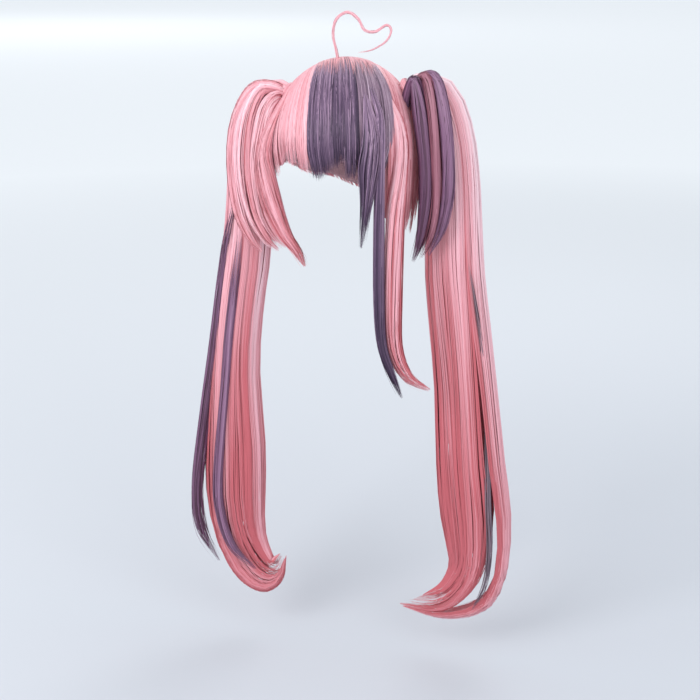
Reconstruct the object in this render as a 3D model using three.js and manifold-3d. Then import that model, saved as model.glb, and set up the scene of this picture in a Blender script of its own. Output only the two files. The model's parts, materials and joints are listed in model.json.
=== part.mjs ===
// A long cosplay wig with two tails, in millimetres, +Z up.
// The origin is the inside of the cap at its crown, the face opens towards -Y and +X is the viewer's right.
// Hair on the head is made of panels that lie round the cap. Free hair is made of swept locks.
import * as THREE from 'three';
import { mergeVertices } from 'three/addons/utils/BufferGeometryUtils.js';
import Module from 'manifold-3d';

const wasm = await Module();
wasm.setup();

// Driving sizes
const HEAD = { halfWidth: 78, halfDepth: 98, height: 112 };
const CAP_WALL = 1.5;
const HAIR = { halfWidth: 98, halfDepth: 118, height: 115, top: 18 };
const GAP = 0.4;
const WHORL = { x: -6, y: -10, radius: 5.5 };
const TIE = { inner: 14.6, outer: 19, length: 7, sides: 20 };
const TIP = 0.7;

// Fineness of the facets
const CAP_MESH = { sides: 28, rows: 7, even: 0 };
const SPACE_MESH = { sides: 60, rows: 24, even: 0.875 };
const PANEL_ROW = 31;
const COLUMNS_A_LOCK = 4;
const STEPS_A_ROW = 2;
const TAIL_MESH = { sides: 12, ridges: 4 };
const HEART_MESH = { sides: 6 };
const MERGE = 1e-4;

// Room for the flats of the facets where hair lies on the cap
const FLATS = 1.4;

// Valleys between locks and the thinning of ends are shares of the hair's thickness. A notch is a height.
const LOCKED = { valley: 0.3, notch: 13, thinEnd: 0.45 };
const COMBED = { valley: 0.22, ridges: 22, fade: 60, thinEnd: 0.5, columns: 11, from: 100 };
const TAIL_VALLEY = 0.16;
const END_POWER = 7;

const COLOURS = {
  net: 0x9c6f7f,
  pink: 0xe8b0c4,
  purple: 0x806f8a,
  lilac: 0x97819a,
  grey: 0x8f8291,
};

const radians = THREE.MathUtils.degToRad;
const QUARTER = Math.PI / 2;

// Solids and meshes
function solidOf(geometry) {
  geometry.deleteAttribute('normal');
  geometry.deleteAttribute('uv');
  const merged = mergeVertices(geometry, MERGE);
  const vertProperties = Float32Array.from(merged.attributes.position.array);
  const triVerts = Uint32Array.from(merged.index.array);
  return new wasm.Manifold(new wasm.Mesh({ numProp: 3, vertProperties, triVerts }));
}

function largestBody(solid) {
  return solid.decompose().sort((a, b) => b.volume() - a.volume())[0];
}

function meshOf(name, solid, colour) {
  const { vertProperties, triVerts } = solid.getMesh();
  const geometry = new THREE.BufferGeometry();
  geometry.setAttribute('position', new THREE.BufferAttribute(vertProperties, 3));
  geometry.setIndex(new THREE.BufferAttribute(triVerts, 1));
  geometry.computeVertexNormals();
  const material = new THREE.MeshStandardMaterial({ color: colour, roughness: 0.45, metalness: 0 });
  const mesh = new THREE.Mesh(geometry, material);
  mesh.name = name;
  return mesh;
}

function reshape(geometry, place) {
  const position = geometry.attributes.position;
  const vertex = new THREE.Vector3();
  for (let i = 0; i < position.count; i += 1) {
    place(vertex.fromBufferAttribute(position, i));
    position.setXYZ(i, vertex.x, vertex.y, vertex.z);
  }
  return geometry;
}

// Smooth value between the rows of a table of angles
function atAngle(table, angle, column) {
  const next = table.findIndex((row) => row.angle >= angle);
  if (next <= 0) return next < 0 ? table.at(-1)[column] : table[0][column];
  const [a, b] = [table[next - 1], table[next]];
  const share = THREE.MathUtils.smoothstep(angle, a.angle, b.angle);
  return THREE.MathUtils.lerp(a[column], b[column], share);
}

// A dome is an ellipsoid above its widest level, and hangs straight down below it.
const ARC_SHARE = 0.78;

function dome(halfWidth, halfDepth, height, top) {
  return { halfWidth, halfDepth, height, middle: top - height, quarter: (height + halfDepth) * ARC_SHARE };
}

function grown(form, by) {
  return dome(form.halfWidth + by, form.halfDepth + by, form.height + by, form.middle + form.height + by);
}

// Distance combed from the whorl to a level
function fallTo(form, z) {
  const rise = (z - form.middle) / form.height;
  return rise > 0 ? (form.quarter * Math.acos(rise)) / QUARTER : form.quarter + form.middle - z;
}

// Point of a dome at an angle about +Z, 0 at the face and positive towards +X, after a fall from the whorl
function onDome(form, angle, fall, target) {
  const lean = Math.min(fall / form.quarter, 1) * QUARTER;
  const out = Math.sin(lean);
  const shift = 1 - out * out;
  const x = out * Math.sin(angle) + (shift * WHORL.x) / form.halfWidth;
  const y = -out * Math.cos(angle) + (shift * WHORL.y) / form.halfDepth;
  const rise = Math.sqrt(Math.max(0, 1 - x * x - y * y));
  const hang = Math.max(0, fall - form.quarter);
  const up = hang > 0 ? -hang : form.height * rise;
  return target.set(x * form.halfWidth, y * form.halfDepth, form.middle + up);
}

const INSIDE = dome(HEAD.halfWidth, HEAD.halfDepth, HEAD.height, 0);
const CAP_OUTSIDE = grown(INSIDE, CAP_WALL);
const HAIR_INSIDE = grown(CAP_OUTSIDE, GAP + FLATS);
const HAIR_OUTSIDE = dome(HAIR.halfWidth, HAIR.halfDepth, HAIR.height, HAIR.top);

// A round profile turned into a dome, whose rim follows a table of angles. A share of its rows can be kept
// even, down to the highest part of the rim, so that only the rest of them follow the rim.
function turnedDome(inside, outside, rim, { sides, rows, even }) {
  const profile = [];
  if (inside) for (let i = 0; i <= rows; i += 1) profile.push(new THREE.Vector2(i / rows, 0));
  else profile.push(new THREE.Vector2(0, 0));
  for (let i = rows; i >= 0; i -= 1) profile.push(new THREE.Vector2(i / rows, 1));
  // Radius carries the share of the fall, and height says which wall the point is on.
  const geometry = new THREE.LatheGeometry(profile, sides);
  const floor = !inside;
  return solidOf(reshape(geometry, (p) => {
    const share = Math.hypot(p.x, p.z);
    const angle = Math.atan2(p.x, p.z);
    const level = atAngle(rim, Math.abs(THREE.MathUtils.radToDeg(angle)), angle < 0 ? 'left' : 'right');
    const form = p.y > 0.5 || floor ? outside : inside;
    if (floor && p.y < 0.5) return p.set(0, 0, rim[0].left);
    const evenFall = even ? fallTo(form, rim[0].left) : 0;
    const below = THREE.MathUtils.lerp(evenFall, fallTo(form, level), (share - even) / (1 - even));
    return onDome(form, angle, share < even ? (evenFall * share) / even : below, p);
  }));
}

// The edge of the cap: high over the face, lower at the ears and lowest at the nape
const CAP_RIM = [
  { angle: 0, left: -62, right: -62 },
  { angle: 55, left: -78, right: -78 },
  { angle: 95, left: -118, right: -118 },
  { angle: 135, left: -140, right: -140 },
  { angle: 180, left: -160, right: -160 },
];

// Panels of hair that lie on the head. Each lock of a panel ends at its angle and hangs down to its tip.
const PANELS = {
  fringe_pink: {
    colour: COLOURS.pink,
    start: -100,
    locks: [
      { end: -82, tip: -124 },
      { end: -63, tip: -122 },
      { end: -48, tip: -128 },
      { end: -35, tip: -108 },
      { end: -22, tip: -107 },
      { end: -9, tip: -115 },
    ],
  },
  fringe_purple: {
    colour: COLOURS.purple,
    start: -9,
    locks: [
      { end: 3, tip: -122 },
      { end: 10, tip: -110 },
      { end: 17, tip: -105 },
      { end: 27, tip: -117 },
    ],
  },
  fringe_lilac: {
    colour: COLOURS.lilac,
    start: 27,
    locks: [
      { end: 38, tip: -124 },
      { end: 49, tip: -126 },
    ],
  },
  side_pink: {
    colour: COLOURS.pink,
    start: 49,
    locks: [
      { end: 62, tip: -190 },
      { end: 76, tip: -198 },
      { end: 88, tip: -182 },
      { end: 100, tip: -168 },
    ],
  },
};

// Combed back hair has no free ends: its edge rolls under at the nape.
const COMBED_EDGE = [
  { angle: 100, left: -122, right: -130 },
  { angle: 140, left: -146, right: -148 },
  { angle: 180, left: -166, right: -166 },
];

// Where the tails are tied, on the sides of the crown. The direction is the one in which the hair leaves.
const TIES = {
  left: { x: -79, y: 8, z: -34, out: -0.86, up: 0.51 },
  right: { x: 79, y: 8, z: -25, out: 0.8, up: 0.6 },
};

// One closed panel between two angles. A box of columns and rows is bent on to the head.
function panel(start, end, columns, edgeAt, thicknessAt) {
  const middleFall = fallTo(HAIR_OUTSIDE, edgeAt((start + end) / 2));
  const box = new THREE.BoxGeometry(1, 1, 1, columns, Math.round(middleFall / PANEL_ROW), 1);
  return solidOf(reshape(box, (p) => {
    const [across, down, outer] = [p.x + 0.5, 0.5 - p.y, p.z > 0];
    const degrees = THREE.MathUtils.lerp(start, end, across);
    const level = edgeAt(degrees, across);
    const fall = THREE.MathUtils.lerp(WHORL.radius, fallTo(HAIR_OUTSIDE, level), down);
    // The sides stand half a gap in from the line that two panels share.
    const radius = HAIR.halfWidth * Math.sin(Math.min(fall / HAIR_OUTSIDE.quarter, 1) * QUARTER);
    const inset = (GAP / 2 / radius) * (1 - 2 * across) * (across === 0 || across === 1 ? 1 : 0);
    const angle = radians(degrees) + inset;
    const inner = onDome(HAIR_INSIDE, angle, fallOnInside(fall, level), new THREE.Vector3());
    if (!outer) return p.copy(inner);
    onDome(HAIR_OUTSIDE, angle, fall, p);
    return p.lerp(inner, 1 - thicknessAt(degrees, across, down, p));
  }));
}

// The inner wall of a panel runs from the same whorl to the same level as its outer wall.
function fallOnInside(fall, level) {
  const share = (fall - WHORL.radius) / (fallTo(HAIR_OUTSIDE, level) - WHORL.radius);
  return THREE.MathUtils.lerp(WHORL.radius, fallTo(HAIR_INSIDE, level), share);
}

function lockedPanel({ start, locks }) {
  const end = locks.at(-1).end;
  const lockAt = (degrees) => {
    const index = Math.max(0, locks.findIndex((lock) => degrees <= lock.end + MERGE));
    const from = index ? locks[index - 1].end : start;
    const share = THREE.MathUtils.clamp((degrees - from) / (locks[index].end - from), 0, 1);
    return { tip: locks[index].tip, crest: Math.sin(Math.PI * share) };
  };
  const edgeAt = (degrees) => {
    const { tip, crest } = lockAt(degrees);
    return tip + LOCKED.notch * (1 - crest);
  };
  const thicknessAt = (degrees, across, down) => {
    const thinned = 1 - LOCKED.valley * (1 - lockAt(degrees).crest) * Math.sqrt(down);
    return thinned * (1 - LOCKED.thinEnd * down ** END_POWER);
  };
  return panel(start, end, locks.length * COLUMNS_A_LOCK, edgeAt, thicknessAt);
}

function combedPanel(start, end, side) {
  const tie = new THREE.Vector3(TIES[side].x, TIES[side].y, TIES[side].z);
  const edgeAt = (degrees) => atAngle(COMBED_EDGE, Math.abs(degrees), side);
  // Ridges run towards the tie, so they follow the direction from it.
  const thicknessAt = (degrees, across, down, p) => {
    const turn = Math.atan2(p.y - tie.y, tie.z - p.z);
    const near = Math.min(1, p.distanceTo(tie) / COMBED.fade);
    const ridge = 0.5 - 0.5 * Math.cos(COMBED.ridges * turn);
    return (1 - COMBED.valley * ridge * near) * (1 - COMBED.thinEnd * down ** END_POWER);
  };
  return panel(start, end, COMBED.columns, edgeAt, thicknessAt);
}

// Space taken by all the panels, from which free hair keeps its distance
const PANEL_EDGE = [
  { angle: 0, left: -124, right: -124 },
  { angle: 44, left: -130, right: -128 },
  { angle: 50, left: -130, right: -204 },
  { angle: 100, left: -128, right: -204 },
  { angle: 104, left: -128, right: -136 },
  { angle: 140, left: -148, right: -150 },
  { angle: 180, left: -168, right: -168 },
];

// A lock is swept along its rows. Each row has the middle of the lock, its half width across the way that it
// faces, its half depth along it, and the way that it faces in degrees from the front, positive towards +X.
const lockRow = ([x, y, z, wide, deep, facing = 0]) => ({ x, y, z, wide, deep, facing });

function lock(rows, { sides = 8, ridges = 0, grow = 0 } = {}) {
  const table = rows.map(lockRow);
  const middle = new THREE.CatmullRomCurve3(table.map((r) => new THREE.Vector3(r.x, r.y, r.z)));
  const section = new THREE.CatmullRomCurve3(table.map((r) => new THREE.Vector3(r.wide, r.deep, r.facing)));
  const steps = Math.round((table.length - 1) * STEPS_A_ROW);
  const rod = new THREE.CylinderGeometry(1, 1, 1, sides, steps);
  return solidOf(reshape(rod, (p) => {
    const along = THREE.MathUtils.clamp(0.5 - p.y, 0, 1);
    const { x: wide, y: deep, z: facing } = section.getPoint(along);
    const way = middle.getTangent(along);
    const face = new THREE.Vector3(Math.sin(radians(facing)), -Math.cos(radians(facing)), 0);
    const across = face.clone().cross(way).normalize();
    const through = way.clone().cross(across);
    const turn = Math.atan2(p.x, p.z);
    const crest = ridges ? 1 - TAIL_VALLEY * (0.5 - 0.5 * Math.cos(ridges * turn)) : 1;
    const end = along === 0 || along === 1 ? grow * (along - 0.5) * 2 : 0;
    const half = { wide: Math.max(TIP, wide) * crest + grow, deep: Math.max(TIP, deep) * crest + grow };
    const [side, front] = [p.x * half.wide, p.z * half.deep];
    p.copy(middle.getPoint(along)).addScaledVector(way, end);
    return p.addScaledVector(across, side).addScaledVector(through, front);
  }));
}

const joined = (solids) => solids.reduce((sum, part) => sum.add(part));
const without = (solid, cuts) => cuts.reduce((rest, cut) => rest.subtract(cut), solid);
const lockGroup = (tables, options) => joined(tables.map((rows) => lock(rows, options)));

// Hair that frames the face
const FACE_LOCKS = {
  cheek_lock: {
    colour: COLOURS.pink,
    sides: 8,
    tables: [[
      [-69, -39, -23, 16, 4, -62],
      [-86, -47, -60, 22, 6, -65],
      [-94, -49, -98, 23, 8, -62],
      [-91, -52, -138, 22, 8, -45],
      [-82, -52, -170, 17, 8, -38],
      [-66, -55, -202, 12, 7, -32],
      [-49, -60, -222, 8, 5, -28],
      [-38, -66, -240, TIP, TIP, -25],
    ]],
  },
  jaw_lock: {
    colour: COLOURS.purple,
    sides: 8,
    tables: [[
      [44, -74, -20, 5, 3, 31],
      [53, -90, -50, 7, 4, 31],
      [56, -98, -78, 8, 4, 30],
      [54, -103, -110, 9, 5, 28],
      [51, -103, -150, 7, 4, 26],
      [44, -100, -204, TIP, TIP, 25],
    ]],
  },
  long_lock_purple: {
    colour: COLOURS.purple,
    sides: 8,
    tables: [[
      [46, -58, -10, 4, 3, 39],
      [61, -75, -38, 6, 4, 39],
      [65, -87, -66, 7, 4, 37],
      [66, -93, -110, 7, 5, 35],
      [65, -93, -175, 8, 6, 25],
      [65, -92, -270, 8, 6, 15],
      [69, -92, -328, 7, 5, 15],
      [81, -92, -364, 5, 4, 15],
      [96, -92, -398, TIP, TIP, 15],
    ]],
  },
  long_lock_pink: {
    colour: COLOURS.pink,
    sides: 8,
    tables: [[
      [67, -45, -23, 6, 4, 57],
      [80, -52, -52, 8, 5, 57],
      [85, -60, -85, 9, 6, 54],
      [85, -67, -120, 9, 6, 48],
      [82, -77, -172, 10, 7, 30],
      [81, -80, -270, 10, 7, 15],
      [83, -80, -334, 9, 6, 15],
      [100, -80, -372, 6, 4, 15],
      [130, -80, -388, TIP, TIP, 15],
    ]],
  },
};

// Shorter layers that spring from the ties and fall over the tails
const LAYERS = {
  tail_left_layer: {
    colour: COLOURS.pink,
    side: 'left',
    tables: [
      [
        [-90, -8, -24, 6, 6, 0],
        [-108, -20, -25, 8, 7, 0],
        [-122, -28, -62, 9, 8, 0],
        [-126, -30, -120, 10, 8, 0],
        [-117, -30, -178, 9, 7, 0],
        [-100, -32, -212, 6, 5, 0],
        [-82, -34, -228, TIP, TIP, 0],
      ],
      [
        [-92, -6, -20, 6, 6, 0],
        [-118, -18, -24, 8, 7, 0],
        [-138, -25, -66, 9, 7, 0],
        [-143, -26, -124, 10, 7, 0],
        [-137, -26, -180, 9, 6, 0],
        [-122, -28, -214, 6, 5, 0],
        [-106, -30, -232, TIP, TIP, 0],
      ],
    ],
  },
  tail_right_layer_inner: {
    colour: COLOURS.purple,
    side: 'right',
    tables: [[
      [90, -6, -12, 4, 4, 0],
      [98, -20, -14, 6, 6, 0],
      [105, -30, -52, 8, 8, 0],
      [110, -32, -105, 8, 8, 0],
      [111, -32, -155, 8, 7, 0],
      [106, -32, -200, 5, 5, 0],
      [96, -32, -234, TIP, TIP, 0],
    ]],
  },
  tail_right_layer_middle: {
    colour: COLOURS.pink,
    side: 'right',
    tables: [[
      [94, -4, -8, 4, 4, 0],
      [108, -18, -6, 6, 6, 0],
      [119, -29, -46, 6, 8, 0],
      [125, -32, -105, 6, 8, 0],
      [126, -32, -155, 6, 7, 0],
      [120, -32, -196, 5, 5, 0],
      [106, -32, -228, TIP, TIP, 0],
    ]],
  },
  tail_right_layer_outer: {
    colour: COLOURS.purple,
    side: 'right',
    tables: [[
      [96, -2, -5, 4, 4, 0],
      [118, -16, -4, 6, 6, 0],
      [132, -28, -46, 7, 8, 0],
      [139, -31, -105, 7, 8, 0],
      [139, -31, -150, 7, 7, 0],
      [131, -31, -192, 5, 5, 0],
      [116, -31, -224, TIP, TIP, 0],
    ]],
  },
};

// Coloured streaks that run down the tails
const STREAKS = {
  tail_left_outer_streak: {
    colour: COLOURS.purple,
    side: 'left',
    sides: 6,
    tables: [[
      [-146, -12, -160, 3, 3, 0],
      [-161, -4, -215, 5, 7, 0],
      [-171, 1, -265, 6, 8, 0],
      [-186, 2, -356, 6, 8, 0],
      [-205, 2, -470, 6, 8, 0],
      [-222, 2, -590, 6, 7, 0],
      [-217, 2, -655, 6, 6, 0],
      [-192, 2, -705, TIP, TIP, 0],
    ]],
  },
  tail_left_inner_streak: {
    colour: COLOURS.purple,
    side: 'left',
    sides: 6,
    tables: [[
      [-140, -12, -196, 3, 3, 0],
      [-151, -14, -280, 5, 5, 0],
      [-161, -15, -355, 5, 6, 0],
      [-170, -16, -440, 5, 6, 0],
      [-183, -16, -560, 6, 6, 0],
      [-182, -15, -618, 6, 6, 0],
      [-166, -13, -672, 5, 5, 0],
      [-132, -12, -704, TIP, TIP, 0],
    ]],
  },
  tail_right_streak: {
    colour: COLOURS.grey,
    side: 'right',
    sides: 6,
    tables: [[
      [164, -12, -232, 3, 3, 0],
      [180, -8, -320, 5, 6, 0],
      [191, -5, -400, 5, 7, 0],
      [198, -11, -565, 5, 7, 0],
      [206, -9, -660, 5, 6, 0],
      [203, -6, -724, TIP, TIP, 0],
    ]],
  },
};

// The tails. The first table is the body of a tail, and the others are the locks of its curl.
const TAILS = {
  tail_left: {
    colour: COLOURS.pink,
    side: 'left',
    body: [
      [-72, 8, -38, 14, 14, 0],
      [-90, 9, -28, 16, 16, 0],
      [-112, 11, -42, 24, 22, 0],
      [-127, 14, -80, 28, 26, 0],
      [-134, 15, -130, 30, 28, 0],
      [-138, 15, -190, 31, 29, 0],
      [-144, 15, -250, 33, 30, 0],
      [-155, 15, -320, 33, 31, 0],
      [-164, 15, -410, 35, 31, 0],
      [-166, 15, -520, 43, 31, 0],
      [-168, 15, -600, 44, 29, 0],
      [-162, 14, -660, 36, 24, 0],
      [-144, 13, -702, 20, 16, 0],
    ],
    curl: [
      [
        [-190, 10, -590, 12, 16, 0],
        [-190, 8, -655, 14, 15, 0],
        [-164, 6, -712, 14, 13, 0],
        [-128, 5, -738, 11, 10, 0],
        [-101, 4, -722, 6, 6, 0],
        [-91, 4, -686, TIP, TIP, 0],
      ],
      [
        [-160, 12, -610, 16, 18, 0],
        [-152, 12, -670, 16, 16, 0],
        [-132, 11, -708, 12, 12, 0],
        [-108, 10, -718, 7, 7, 0],
        [-95, 10, -694, TIP, TIP, 0],
      ],
      [
        [-150, 18, -620, 16, 16, 0],
        [-136, 18, -676, 14, 13, 0],
        [-118, 17, -704, 8, 8, 0],
        [-103, 16, -690, TIP, TIP, 0],
      ],
    ],
  },
  tail_right: {
    colour: COLOURS.pink,
    side: 'right',
    body: [
      [73, 8, -30, 14, 14, 0],
      [92, 9, -17, 16, 16, 0],
      [117, 11, -30, 26, 22, 0],
      [132, 14, -74, 30, 26, 0],
      [138, 15, -130, 33, 28, 0],
      [140, 15, -190, 36, 29, 0],
      [142, 15, -250, 39, 30, 0],
      [149, 15, -320, 40, 31, 0],
      [158, 15, -410, 40, 31, 0],
      [167, 15, -520, 44, 31, 0],
      [177, 15, -600, 46, 29, 0],
      [182, 14, -664, 38, 24, 0],
      [172, 13, -712, 22, 16, 0],
    ],
    curl: [
      [
        [205, 10, -600, 12, 16, 0],
        [212, 8, -664, 13, 15, 0],
        [196, 6, -722, 15, 13, 0],
        [160, 5, -752, 13, 11, 0],
        [124, 4, -762, 8, 7, 0],
        [92, 4, -752, TIP, TIP, 0],
      ],
      [
        [175, 12, -630, 18, 18, 0],
        [174, 12, -684, 17, 16, 0],
        [154, 11, -724, 13, 12, 0],
        [122, 10, -744, 8, 7, 0],
        [76, 10, -744, TIP, TIP, 0],
      ],
      [
        [158, 18, -620, 16, 16, 0],
        [158, 18, -676, 14, 13, 0],
        [140, 17, -712, 9, 8, 0],
        [108, 16, -730, TIP, TIP, 0],
      ],
    ],
  },
};

// The springy strand on the crown, bent into a heart
const HEART = [
  [-6, -10, 3, 3.2, 3.2, 0],
  [-9, -10, 22, 2.2, 2, 0],
  [-14, -10, 46, 2.2, 1.6, 0],
  [-10, -10, 64, 2.3, 1.4, 0],
  [4, -10, 73, 2.4, 1.3, 0],
  [18, -10, 65, 2.3, 1.3, 0],
  [26, -10, 52, 2.2, 1.4, 0],
  [40, -10, 50, 2.2, 1.4, 0],
  [54, -10, 58, 2, 1.4, 0],
  [60, -10, 51, 1.8, 1.3, 0],
  [53, -10, 38, 1.6, 1.2, 0],
  [36, -10, 28, 1.2, 1, 0],
  [18, -10, 24, TIP, TIP, 0],
];

// A band or the space round it, set across the way in which a tail leaves the head
function tieBand({ x, y, z, out, up }, inner, outer, length) {
  const half = length / 2;
  const corners = inner
    ? [[inner, -half], [outer, -half], [outer, half], [inner, half], [inner, -half]]
    : [[0, -half], [outer, -half], [outer, half], [0, half]];
  const profile = corners.map(([r, h]) => new THREE.Vector2(r, h));
  const band = new THREE.LatheGeometry(profile, TIE.sides);
  const way = new THREE.Vector3(out, 0, up).normalize();
  band.applyQuaternion(new THREE.Quaternion().setFromUnitVectors(new THREE.Vector3(0, 1, 0), way));
  return solidOf(band.translate(x + way.x * half, y, z + way.z * half));
}

// Every piece
const group = new THREE.Group();
const place = (name, solid, colour) => group.add(meshOf(name, largestBody(solid), colour));

const headSpace = turnedDome(null, grown(HAIR_OUTSIDE, GAP), PANEL_EDGE, SPACE_MESH);
place('cap', turnedDome(INSIDE, CAP_OUTSIDE, CAP_RIM, CAP_MESH), COLOURS.net);
for (const [name, table] of Object.entries(PANELS)) place(name, lockedPanel(table), table.colour);
place('back_right', combedPanel(COMBED.from, 180, 'right'), COLOURS.pink);
place('back_left', combedPanel(-180, -COMBED.from, 'left'), COLOURS.pink);

const faceLocks = Object.entries(FACE_LOCKS);
faceLocks.forEach(([name, { tables, sides, colour }], index) => {
  const earlier = faceLocks.slice(0, index).map(([, other]) => lockGroup(other.tables, { sides, grow: GAP }));
  place(name, without(lockGroup(tables, { sides }), [headSpace, ...earlier]), colour);
});
const faceSpace = joined(faceLocks.map(([, { tables, sides }]) => lockGroup(tables, { sides, grow: GAP })));

for (const [side, tie] of Object.entries(TIES)) {
  const ofSide = (tables) => Object.entries(tables).filter(([, table]) => table.side === side);
  const tieSpace = tieBand(tie, 0, TIE.outer + GAP, TIE.length + 2 * GAP);
  const cuts = [headSpace, tieSpace, faceSpace];
  place(`tie_${side}`, tieBand(tie, TIE.inner, TIE.outer, TIE.length).subtract(headSpace), COLOURS.pink);
  for (const [name, { tables, colour, sides }] of [...ofSide(LAYERS), ...ofSide(STREAKS)]) {
    place(name, without(lockGroup(tables, { sides }), cuts), colour);
    cuts.push(lockGroup(tables, { sides, grow: GAP }));
  }
  const [[name, { body, curl, colour }]] = ofSide(TAILS);
  const bandSpace = tieBand(tie, TIE.inner - GAP, TIE.outer + GAP, TIE.length + 2 * GAP);
  const tailCuts = cuts.map((cut) => (cut === tieSpace ? bandSpace : cut));
  place(name, without(lock(body, TAIL_MESH).add(lockGroup(curl)), tailCuts), colour);
}
place('heart_strand', lock(HEART, HEART_MESH), COLOURS.pink);

export default group;
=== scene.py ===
"""Dresses a long cosplay wig in fibre: hair on the head, face locks, two tails, ties, cap and heart strand.

The tables follow those of the part's source and are in millimetres. Everything that is built is in metres,
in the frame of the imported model: +Z is up, the face opens towards -Y and the origin is the crown of the cap.
"""

from __future__ import annotations

import json
import logging
import math
from collections.abc import Callable, Sequence
from dataclasses import dataclass
from enum import Enum
from typing import NamedTuple

import bmesh
import bpy
import numpy as np
from mathutils import Matrix, Vector

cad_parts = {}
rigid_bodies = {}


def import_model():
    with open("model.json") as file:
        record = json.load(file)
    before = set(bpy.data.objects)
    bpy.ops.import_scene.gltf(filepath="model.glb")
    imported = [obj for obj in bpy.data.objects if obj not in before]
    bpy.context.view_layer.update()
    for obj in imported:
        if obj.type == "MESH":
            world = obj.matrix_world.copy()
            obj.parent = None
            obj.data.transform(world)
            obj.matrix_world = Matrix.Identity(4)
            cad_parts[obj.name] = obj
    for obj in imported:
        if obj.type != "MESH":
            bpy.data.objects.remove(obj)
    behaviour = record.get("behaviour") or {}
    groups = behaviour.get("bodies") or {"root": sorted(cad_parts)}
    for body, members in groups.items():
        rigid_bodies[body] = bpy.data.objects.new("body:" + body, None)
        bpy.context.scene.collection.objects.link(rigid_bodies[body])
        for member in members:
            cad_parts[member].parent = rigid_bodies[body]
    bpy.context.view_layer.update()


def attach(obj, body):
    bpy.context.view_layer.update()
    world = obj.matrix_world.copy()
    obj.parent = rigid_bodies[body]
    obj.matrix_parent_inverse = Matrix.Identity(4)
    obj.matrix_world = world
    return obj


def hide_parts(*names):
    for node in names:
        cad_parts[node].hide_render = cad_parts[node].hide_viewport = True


LOG = logging.getLogger("wig")

MM = 0.001
BODY = "root"
STRAND_MAP = "OFBake"
SEED = 20417
TURN = 2 * math.pi
QUARTER_TURN = math.pi / 2
MID_TINT = 0.5

Colour = tuple[int, int, int]
Stops = tuple[tuple[float, Colour], ...]
Vectors = np.ndarray


# Small sums


def linear(colour: Colour) -> tuple[float, float, float, float]:
    """Turns a display colour into the shader's linear one.

    Args:
        colour: Red, green and blue, each from 0 to 255.

    Returns:
        Linear red, green and blue with a full alpha.
    """
    shares = (value / 255 for value in colour)
    red, green, blue = (((s + 0.055) / 1.055) ** 2.4 if s > 0.04045 else s / 12.92 for s in shares)
    return red, green, blue, 1.0


def unit(vectors: Vectors) -> Vectors:
    """Scales vectors to a length of one.

    Args:
        vectors: Vectors along the last axis.

    Returns:
        Unit vectors of the same shape.
    """
    return vectors / np.maximum(np.linalg.norm(vectors, axis=-1, keepdims=True), 1e-9)


def smooth(low: float, high: float, values: Vectors) -> Vectors:
    """Eases values from 0 at low to 1 at high.

    Args:
        low: Where the step starts.
        high: Where the step ends.
        values: Numbers to ease.

    Returns:
        Eased numbers of the same shape.
    """
    share = np.clip((values - low) / (high - low), 0.0, 1.0)
    return share * share * (3.0 - 2.0 * share)


def blend(first: Vectors, second: Vectors, share: Vectors) -> Vectors:
    """Mixes two arrays by a share.

    Args:
        first: Values at a share of 0.
        second: Values at a share of 1.
        share: Shares.

    Returns:
        Mixed values.
    """
    return first + (second - first) * share


def through_rows(table: Vectors, shares: Vectors) -> Vectors:
    """Runs a smooth curve through the rows of a table.

    Args:
        table: Rows of values.
        shares: Places along the table, 0 at its first row and 1 at its last.

    Returns:
        A row of values for each share.
    """
    last = len(table) - 1
    place = np.clip(shares, 0.0, 1.0) * last
    row = np.minimum(place.astype(int), last - 1)
    part = (place - row)[..., None]
    padded = np.vstack([2 * table[0] - table[1], table, 2 * table[-1] - table[-2]])
    a, b, c, d = (padded[row + step] for step in range(4))
    bend = (2 * a - 5 * b + 4 * c - d) * part**2 + (3 * b - a - 3 * c + d) * part**3
    return 0.5 * (2 * b + (c - a) * part + bend)


# Sizes that the wig shares with the part's source


class LockRow(NamedTuple):
    """A section of a lock: its middle, half width, half depth and facing, in degrees from the front."""

    x: float
    y: float
    z: float
    wide: float
    deep: float
    facing: float = 0.0


class PanelLock(NamedTuple):
    """A lock of a panel: the angle where it ends and the level of its tip."""

    end: float
    tip: float


class EdgeRow(NamedTuple):
    """The level of an edge at an angle from the front, on both sides of the head."""

    angle: float
    left: float
    right: float


class Tie(NamedTuple):
    """Where a tail leaves the head, and the sideways and upward parts of its direction."""

    x: float
    y: float
    z: float
    out: float
    up: float


class RootRow(NamedTuple):
    """Where the hair that falls at an angle leaves the crown."""

    angle: float
    x: float
    y: float


# Half width of a lock at its tip, and how much strands at its sides face sideways
TIP = 0.7
SIDE_LEAN = 0.6

TIE_INNER, TIE_OUTER, TIE_LENGTH = 14.6, 19.0, 7.0

# Share of a dome's height and half depth that hair is combed over, and the steps of a search along it
ARC_SHARE = 0.78
FALL_STEPS = 90

ROOT_LINE = (
    RootRow(-100, -20, 72),
    RootRow(-60, -30, 72),
    RootRow(-9, -46, 72),
    RootRow(49, -1, 73),
    RootRow(100, 12, 73),
)
BACK_ROOTS = (
    RootRow(-180, -22, 34),
    RootRow(-150, -45, 40),
    RootRow(-120, -42, 56),
    RootRow(-100, -20, 71),
    RootRow(100, 12, 71),
    RootRow(120, 10, 56),
    RootRow(150, 5, 40),
    RootRow(180, -22, 34),
)
CROWN = (RootRow(-180, 0, 0), RootRow(180, 0, 0))


def rows(*values: tuple[float, ...]) -> tuple[LockRow, ...]:
    """Names the columns of a lock's table.

    Args:
        *values: Rows of numbers.

    Returns:
        Named rows.
    """
    return tuple(LockRow(*value) for value in values)


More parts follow.
